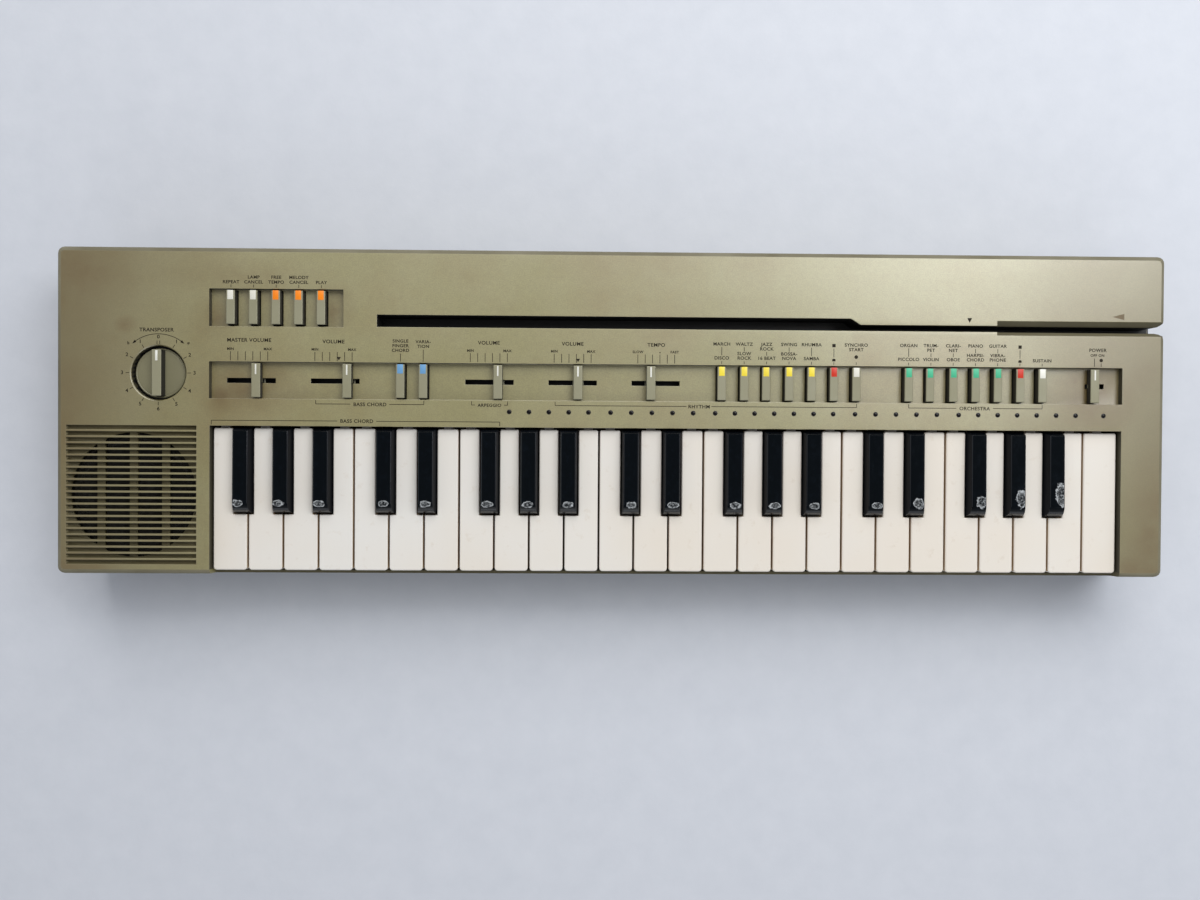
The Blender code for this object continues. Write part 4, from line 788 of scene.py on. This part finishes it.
def keySlots():
    # rear middles of all the notes: the keys of F G A B and C D E share their width equally
    white = whiteSettings
    slots = []
    start = 0
    while start < white["count"]:
        group = 4 if white["notes"][start % 7] == "F" else 3
        width = (group * white["pitch"] - white["gap"]) / (2 * group - 1)
        left = white["left"] + start * white["pitch"] + white["gap"] / 2
        for step in range(2 * group - 1):
            key = start + step // 2
            if key >= white["count"] or (step % 2 and key + 1 >= white["count"]):
                break
            if key == white["count"] - 1:
                slots.append((key, False, left + (white["pitch"] - white["gap"]) / 2))
                break
            slots.append((key, step % 2 == 1, left + (step + 0.5) * width))
        start += group
    return slots


def makeWhiteKeys():
    for index in range(whiteSettings["count"]):
        node = f"white_key_{index + 1:02d}"
        bm = copyNode(node)
        softenEdges(bm, whiteSettings["edge"], 3, 25)
        bm.normal_update()
        # the sides get the darker tan: yellowed plastic and painted shade in the gaps
        for face in bm.faces:
            low = face.calc_center_median().z < whiteSettings["shoulder"]
            if low and face.normal.z < 0.5 and face.normal.y > -0.5:
                face.material_index = 1
        piece = finishPiece(bm, f"whiteKey{index + 1:02d}", (ivoryKeys, ivorySides), node,
                            smooth=50, weighted=True)
        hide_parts(node)


def makeBlackKey(number, x):
    settings = blackSettings
    front, rear, shoulder, top = (settings[key] for key in ("front", "rear", "shoulder", "top"))
    middle = (front + rear) / 2
    shift = settings["markShift"][number - 1]
    stretch = settings["markLength"][number - 1] / settings["markLength"][0]
    half = settings["width"] / 2
    bm = bmesh.new()
    addBox(bm, (x - half, front, settings["low"]), (x + half, rear, shoulder))
    bm.normal_update()
    roof = [face for face in bm.faces if face.normal.z > 0.99]
    for vert in bmesh.ops.extrude_face_region(bm, geom=roof)["geom"]:
        if isinstance(vert, bmesh.types.BMVert):
            vert.co = (x + math.copysign(settings["topWidth"] / 2, vert.co.x - x),
                       front + settings["slope"] if vert.co.y < middle
                       else rear - settings["back"], top)
    for face in roof:
        if face.is_valid:
            bm.faces.remove(face)
    sortItems(bm)
    nose = [edge for edge in bm.edges
            if all(abs(vert.co.z - top) < 1e-6 and vert.co.y < middle for vert in edge.verts)]
    bevelEdges(bm, nose, settings["nose"], 8)
    bm.normal_update()
    sides = [edge for edge in bm.edges
             if all(vert.co.z > shoulder + 1 * mm for vert in edge.verts)
             and edge.calc_face_angle(0.0) > math.radians(50)
             and abs(edge.verts[0].co.x - edge.verts[1].co.x) < 1e-6]
    bevelEdges(bm, sides, settings["edge"], 5)
    bm.normal_update()
    crisp = [edge for edge in bm.edges if edge.calc_face_angle(0.0) > math.radians(45)]
    bevelEdges(bm, crisp, settings["crisp"], 3, clamp_overlap=True)
    width, length, low, high = settings["arm"]
    addBox(bm, (x - width / 2, rear - 1 * mm, low), (x + width / 2, rear + length, high),
           1.2 * mm, 3)
    layer = bm.verts.layers.float_vector.new("keyPlace")
    start, lift = settings["markPlace"]
    for vert in bm.verts:
        along = (vert.co.y - front) / mm - start - lift * (stretch - 1)
        vert[layer] = ((vert.co.x - x) / mm - shift, along / stretch, 0.0)
    bm.normal_update()
    for face in bm.faces:
        if abs(face.normal.x) > 0.8 or face.calc_center_median().z < shoulder:
            face.material_index = 1
        elif 0.2 < face.normal.z < (0.8 if abs(face.normal.y) > 0.2 else 0.93):
            face.material_index = 2
    node = f"black_key_{number:02d}"
    piece = finishPiece(bm, f"blackKey{number:02d}", (ebonyKeys, ebonySides, ebonyEdge),
                        node, smooth=40, weighted=True)
    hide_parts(node)


def makeBlackKeys():
    number = 0
    for key, isBlack, x in keySlots():
        if isBlack:
            number += 1
            makeBlackKey(number, x * mm)


# controls

dialSettings = {
    "place": (-244.5, 20.1), "discLow": 46.7, "discTop": 49.3, "discRadius": 13.4,
    "grip": (5.0, 24.7), "top": 54.4, "shaft": (3.0, 40.0), "pointer": (1.3, 5.4),
}


def makeDial():
    settings = dialSettings
    x, y = (value * mm for value in settings["place"])
    low, top, radius = settings["discLow"], settings["discTop"], settings["discRadius"]
    shaft, shaftLow = settings["shaft"]
    profile = ((0.0, top), (radius - 1.6, top), (radius - 1.2, top - 0.25),
               (radius - 0.9, top - 0.25), (radius - 0.6, top), (radius - 0.3, top - 0.05),
               (radius, top - 0.4), (radius, low + 0.3), (radius - 0.3, low), (shaft, low),
               (shaft, shaftLow), (0.0, shaftLow))
    bm = turnedShell((x, y, 0.0), profile, 72)
    half, reach = (value / 2 * mm for value in settings["grip"])
    ridge = settings["top"] * mm
    addBox(bm, (x - half, y - reach, (low + 0.5) * mm), (x + half, y + reach, ridge),
           0.45 * mm, 4)
    bm.normal_update()
    for face in bm.faces:
        if face.calc_center_median().z < (top + 0.1) * mm:
            face.material_index = 1
        # painted shade: the sides of the grip get the dark side colour
        elif face.normal.z < 0.3:
            face.material_index = 2
    knob = finishPiece(bm, "dialKnob", (capGrey, dialDisc, capSides), "transposer_knob",
                       weighted=True)
    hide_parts("transposer_knob")
    line = bmesh.new()
    width, length = (value * mm for value in settings["pointer"])
    end = y + reach - 0.55 * mm
    addBox(line, (x - width / 2, end - length, ridge - 0.3 * mm),
           (x + width / 2, end, ridge + 0.05 * mm), 0.08 * mm, 2)
    finishPiece(line, "dialPointer", inkWhite, "transposer_knob")


sliderSettings = {
    "caps": {"master_volume_slider": -192.6, "chord_volume_slider": -144.2,
             "arpeggio_volume_slider": -63.6, "rhythm_volume_slider": -20.6,
             "tempo_slider": 18.7, "power_slider": 259.8},
    "rear": 25.6, "top": 53.0, "line": (0.85, 5.4), "edge": 0.14 * mm,
}


def darkenSides(bm):
    # the sides of the caps get the dark colour, the tops keep the grey
    bm.normal_update()
    for face in bm.faces:
        if face.normal.z < 0.3:
            face.material_index = 1


def makeSliders():
    settings = sliderSettings
    for node, x in settings["caps"].items():
        bm = copyNode(node)
        softenEdges(bm, settings["edge"], 2, 30)
        darkenSides(bm)
        piece = finishPiece(bm, node + "Cap", (capGrey, capSides), node,
                            smooth=50, weighted=True)
        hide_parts(node)
        line = bmesh.new()
        width, length = settings["line"]
        end, top = settings["rear"] - 0.5, settings["top"]
        addBox(line, ((x - width / 2) * mm, (end - length) * mm, (top - 0.3) * mm),
               ((x + width / 2) * mm, end * mm, (top + 0.04) * mm), 0.06 * mm, 1)
        finishPiece(line, node + "Line", inkWhite, node)


rowSettings = {  # middle, pitch, rear of the caps, tab colours, buttons locked down
    "cards": (-182.1, 12.0, 64.4, (tabWhite,) * 2 + (tabOrange,) * 3, ()),
    "chords": (-109.7, 12.15, 25.5, (tabBlue, tabBlue), ()),
    "rhythm": (93.3, 12.15, 25.5, (tabYellow,) * 5 + (tabRed, tabWhite), (2,)),
    "voices": (194.7, 12.15, 25.5, (tabGreen,) * 5 + (tabRed, tabWhite), (1,)),
}
bankSettings = {"card_buttons": ("cards",), "accompaniment_buttons": ("chords", "rhythm"),
                "voice_buttons": ("voices",)}
tabSettings = {"width": 3.1, "length": 4.9, "capTop": 53.0, "latch": 1.5, "depth": 1.1}


def rowPlace(row, index):
    middle, pitch, _, colours, _ = rowSettings[row]
    return middle + (index - (len(colours) - 1) / 2) * pitch


def makeBanks():
    for node, rows in bankSettings.items():
        bm = copyNode(node)
        softenEdges(bm, sliderSettings["edge"], 2, 30)
        darkenSides(bm)
        piece = finishPiece(bm, node + "Caps", (capGrey, capSides), node,
                            smooth=50, weighted=True)
        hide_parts(node)
        tabs = {}
        half = tabSettings["width"] / 2
        for row in rows:
            _, _, rear, colours, locked = rowSettings[row]
            for index, colour in enumerate(colours):
                x = rowPlace(row, index)
                top = tabSettings["capTop"] - (tabSettings["latch"] if index in locked else 0.0)
                tab = tabs.setdefault(colour.name, (colour, bmesh.new()))[1]
                addBox(tab, ((x - half) * mm, (rear - tabSettings["length"]) * mm,
                             (top - tabSettings["depth"]) * mm),
                       ((x + half) * mm, (rear + 0.06) * mm, (top + 0.05) * mm), 0.1 * mm, 2)
        for name, (colour, tab) in tabs.items():
            finishPiece(tab, node + name[0].upper() + name[1:], colour, node)


lampRow = {"y": 0.5, "radius": 1.12, "height": 0.3, "firstKey": 8, "panel": 52.0}


def makeLampRow():
    lenses = bmesh.new()
    rings = bmesh.new()
    radius = lampRow["radius"]
    dome = [(0.0, lampRow["height"])]
    dome += [(radius * math.sin(a), lampRow["height"] * math.cos(a)) for a in (0.4, 0.8, 1.2)]
    dome += [(radius, 0.0), (radius, -0.5), (0.0, -0.5)]
    collar = ((radius - 0.05, -0.2), (radius - 0.05, 0.03), (radius, 0.08),
              (radius + 0.12, 0.08), (radius + 0.2, 0.0), (radius + 0.2, -0.2),
              (radius - 0.05, -0.2))
    for key, _, x in keySlots():
        if key < lampRow["firstKey"]:
            continue
        place = (x * mm, lampRow["y"] * mm, lampRow["panel"] * mm)
        addMesh(lenses, turnedShell(place, dome, 20))
        addMesh(rings, turnedShell(place, collar, 20))
    finishPiece(lenses, "lampLenses", lampLens, "case")
    finishPiece(rings, "lampCollars", slotBlack, "case")


# printing: thin raised bars and letters on the panel, in millimetres

printSettings = {"panel": 52.0, "thick": 0.035, "sunk": 0.02, "line": 0.32, "tick": 27.1,
                 "pointer": ((190.0, 53.0), (191.3, 50.4), (192.6, 53.0)),
                 "entry": ((269.4, 54.3), (275.9, 52.6), (275.9, 56.0))}
dialPrint = {"ticks": (15.4, 17.3), "zero": (15.3, 17.2, 0.72), "arc": (20.8, 39, 24),
             "arrow": (41.5, 35.5, 0.75), "numbers": (19.2, 1.95), "signs": (15.9, 15.8, 1.6)}
scaleSettings = {
    "middles": {-196.4: None, -151.5: 3, -68.5: None, -23.5: 3, 21.5: None},  # marked step
    "step": 3.97, "top": 31.9,
    "mark": (0.9, 1.1, 27.5, 29.3),  # shift, half width, low and high
    "power": ((259.8, 31.6), (263.5, 29.0)),
    "discs": ((21.5 + 3.97 / 2, 32.9, 0.35), (263.5, 30.6, 0.95)),  # middle tempo, power on
}
buttonPrint = {  # heights on the panel
    "cards": (66.0, 67.6), "chords": (31.4, 33.6), "bar": 28.6,
    "low": (31.8, 34.0), "high": (36.3, 33.8),  # line between names of one and of two rows
    "choice": (31.2, 35.8), "start": (31.4, 1.0),
    "choiceEnds": (((-0.9, 29.0), (0.9, 29.0), (0.9, 30.0), (0.5, 30.4), (-0.5, 30.4),
                    (-0.9, 30.0)),
                   ((-0.9, 36.6), (0.9, 36.6), (0.9, 38.4), (-0.9, 38.4))),
}
brackets = (  # left, right, height on the panel, turn of the ends, gap for a word
    (-160.9, -103.2, 4.1, 2.0, (-142.4, -121.6)),
    (-77.7, -58.3, 4.1, 2.0, (-75.8, -60.2)),
    (-32.8, 130.2, 4.1, 2.0, (38.0, 51.5)),
    (158.5, 231.4, 4.1, 2.0, (184.5, 204.5)),
    (-216.4, -62.5, -5.0, -2.2, (-149.4, -128.6)),
)


def polar(place, radius, degrees):
    angle = math.radians(degrees)
    return place[0] + radius * math.cos(angle), place[1] + radius * math.sin(angle)


def addOutline(bm, points):
    # flat printed shape with a little thickness
    settings = printSettings
    low, high = ([bm.verts.new((x * mm, y * mm, (settings["panel"] + lift) * mm))
                  for x, y in points] for lift in (-settings["sunk"], settings["thick"]))
    bm.faces.new(low)
    bm.faces.new(high)
    for index in range(len(points)):
        bm.faces.new((low[index - 1], low[index], high[index], high[index - 1]))


def addBar(bm, x0, y0, x1, y1):
    # straight printed line between two places
    start, end = Vector((x0, y0)), Vector((x1, y1))
    along = (end - start).normalized()
    side = Vector((-along.y, along.x)) * printSettings["line"] / 2
    addOutline(bm, (start + side, start - side, end - side, end + side))


def addDisc(bm, x, y, radius):
    addOutline(bm, [polar((x, y), radius, step * 18) for step in range(20)])


def addBracket(bm, left, right, y, rise, gap):
    # line with turned ends, left open where a word stands
    addBar(bm, left, y + rise, left, y)
    addBar(bm, right, y + rise, right, y)
    addBar(bm, left, y, gap[0], y)
    addBar(bm, gap[1], y, right, y)


def makeDialPrint(bm):
    place = dialSettings["place"]
    for step in range(1, 12):
        inner, outer = (polar(place, radius, 90 - 30 * step) for radius in dialPrint["ticks"])
        addBar(bm, *inner, *outer)
    low, high, apart = dialPrint["zero"]
    for x in (place[0] - apart, place[0] + apart):
        addBar(bm, x, place[1] + low, x, place[1] + high)
    radius, reach, steps = dialPrint["arc"]
    points = [polar(place, radius, 90 + reach - 2 * reach * step / steps)
              for step in range(steps + 1)]
    for first, second in zip(points, points[1:]):
        addBar(bm, *first, *second)
    tip, base, half = dialPrint["arrow"]
    for side in (-1, 1):
        addOutline(bm, [polar(place, radius, 90 - side * tip),
                        polar(place, radius + side * half, 90 - side * base),
                        polar(place, radius - side * half, 90 - side * base)])


def makeScalePrint(bm):
    low = printSettings["tick"]
    for middle, mark in scaleSettings["middles"].items():
        for step in range(6):
            x = middle + (step - 2.5) * scaleSettings["step"]
            addBar(bm, x, low, x, scaleSettings["top"])
        if mark:
            shift, half, tip, base = scaleSettings["mark"]
            x = middle + (mark - 2.5) * scaleSettings["step"] + shift
            addOutline(bm, [(x - half, base), (x, tip), (x + half, base)])
    for x, top in scaleSettings["power"]:
        addBar(bm, x, low, x, top)
    for disc in scaleSettings["discs"]:
        addDisc(bm, *disc)


cardNames = (("", "REPEAT"), ("LAMP", "CANCEL"), ("FREE", "TEMPO"), ("MELODY", "CANCEL"),
             ("", "PLAY"))
buttonNames = {  # four lines over each button, from the top down
    "rhythm": (("MARCH", "", "", "DISCO"), ("WALTZ", "", "SLOW", "ROCK"),
               ("JAZZ", "ROCK", "", "16 BEAT"), ("SWING", "", "BOSSA-", "NOVA"),
               ("RHUMBA", "", "", "SAMBA")),
    "voices": (("ORGAN", "", "", "PICCOLO"), ("TRUM-", "PET", "", "VIOLIN"),
               ("CLARI-", "NET", "", "OBOE"), ("PIANO", "", "HARPSI-", "CHORD"),
               ("GUITAR", "", "VIBRA-", "PHONE")),
}


def makeButtonPrint(bm):
    settings = buttonPrint
    tick = printSettings["tick"]

    def upright(x, low, high):
        addBar(bm, x, low, x, high)

    for index in range(len(cardNames)):
        upright(rowPlace("cards", index), *settings["cards"])
    for index, top in enumerate(settings["chords"]):
        upright(rowPlace("chords", index), tick, top)
    for row, names in buttonNames.items():
        for index in range(7):
            x = rowPlace(row, index)
            upright(x, tick, settings["bar"])
            if index < len(names):
                _, second, third, _ = names[index]
                upright(x, settings["low"][bool(third)], settings["high"][bool(second)])
            if index == len(names):  # the red button chooses the upper or the lower name
                upright(x, *settings["choice"])
                for shape in settings["choiceEnds"]:
                    addOutline(bm, [(x + side, y) for side, y in shape])
    addDisc(bm, rowPlace("rhythm", 6), *settings["start"])


def makePrint():
    bm = bmesh.new()
    makeDialPrint(bm)
    makeScalePrint(bm)
    makeButtonPrint(bm)
    for bracket in brackets:
        addBracket(bm, *bracket)
    addOutline(bm, printSettings["pointer"])
    finishPiece(bm, "panelPrint", inkBrown, "case", smooth=30)
    arrow = bmesh.new()
    addOutline(arrow, printSettings["entry"])
    finishPiece(arrow, "entryArrow", inkTan, "case", smooth=30)


lettering = {
    "stretch": 1.05, "spacing": 1.08, "capShare": 0.72, "lift": 0.012,
    "depth": 0.02 * mm, "weight": 0.055 * mm, "weld": 0.001 * mm,
    "ends": (9.9, 33.2, 1.35),  # MIN and MAX beside a scale's middle
    "nameRows": (37.8, 35.3, 32.7, 30.3), "nameHeight": 1.75,
    "cardRows": (71.5, 68.9), "cardHeight": 1.7,
    "words": [  # word, middle x, middle y, height of the capitals
        ("MASTER VOLUME", -196.4, 37.9, 1.95), ("VOLUME", -151.5, 37.4, 1.95),
        ("VOLUME", -68.5, 37.4, 1.95), ("VOLUME", -23.5, 37.2, 1.95),
        ("TEMPO", 21.5, 37.0, 1.95), ("POWER", 261.6, 36.0, 1.8),
        ("TRANSPOSER", -245.5, 43.0, 1.95), ("BASS CHORD", -132.0, 3.9, 1.9),
        ("ARPEGGIO", -68.0, 3.9, 1.7), ("RHYTHM", 44.8, 3.9, 1.9),
        ("ORCHESTRA", 194.5, 3.9, 1.9), ("BASS CHORD", -139.0, -5.1, 1.9),
        ("OFF", 259.4, 33.2, 1.35), ("ON", 263.6, 33.2, 1.35), ("SLOW", 11.6, 33.2, 1.35),
        ("FAST", 31.4, 33.2, 1.35), ("TION", -103.6, 35.2, 1.7), ("VARIA-", -103.6, 37.7, 1.7),
        ("CHORD", -115.8, 33.0, 1.7), ("FINGER", -115.8, 35.5, 1.7),
        ("SINGLE", -115.8, 38.0, 1.7)],
}


def dialNumbers():
    x, y = dialSettings["place"]
    radius, height = dialPrint["numbers"]
    words = [(str(min(step, 12 - step)), *polar((x, y), radius, 90 - 30 * step), height)
             for step in range(12)]
    apart, up, height = dialPrint["signs"]
    return words + [("b", x - apart, y + up, height), ("#", x + apart, y + up, height)]


def buttonWords():
    words = [("SUSTAIN", rowPlace("voices", 6), 30.1, 1.7)]

    def stack(row, index, names, kind):
        x = rowPlace(row, index)
        for name, y in zip(names, lettering[kind + "Rows"]):
            if name:
                words.append((name, x, y, lettering[kind + "Height"]))

    for index, names in enumerate(cardNames):
        stack("cards", index, names, "card")
    for row, groups in buttonNames.items():
        for index, names in enumerate(groups):
            stack(row, index, names, "name")
    stack("rhythm", 6, ("SYNCHRO", "START"), "name")
    return words


def makeLettering():
    settings = lettering
    words = dialNumbers() + settings["words"] + buttonWords()
    for middle in scaleSettings["middles"]:
        if middle < 20:  # the tempo goes from SLOW to FAST
            apart, *rest = settings["ends"]
            words += [("MIN", middle - apart, *rest), ("MAX", middle + apart, *rest)]
    joined = bmesh.new()
    for word, x, y, height in words:
        curve = bpy.data.curves.new("word", "FONT")
        curve.body = word
        curve.size = height / settings["capShare"] * mm
        curve.space_character = settings["spacing"]
        curve.align_x = "CENTER"
        curve.align_y = "CENTER"
        curve.resolution_u = 4
        curve.extrude = settings["depth"]
        curve.offset = settings["weight"]
        item = addObject("word", curve)
        item.location = (x * mm, y * mm, (printSettings["panel"] + settings["lift"]) * mm)
        item.scale = (settings["stretch"], 1.0, 1.0)
        mesh = evaluatedMesh(item)
        mesh.transform(item.matrix_world)
        takeMesh(joined, mesh)
        bpy.data.objects.remove(item)
    bmesh.ops.remove_doubles(joined, verts=joined.verts, dist=settings["weld"])
    finishPiece(joined, "panelLetters", inkBrown, "case", smooth=30)


for stage in (makeUpperCase, makeLowerCase, makeBatteryCover, makeScrews, makeBatteryContacts,
              makeSockets, makeSpeaker, makeInside, makeWhiteKeys, makeBlackKeys, makeDial,
              makeSliders, makeBanks, makeLampRow, makePrint, makeLettering):
    stage()
    print(stage.__name__, "done")
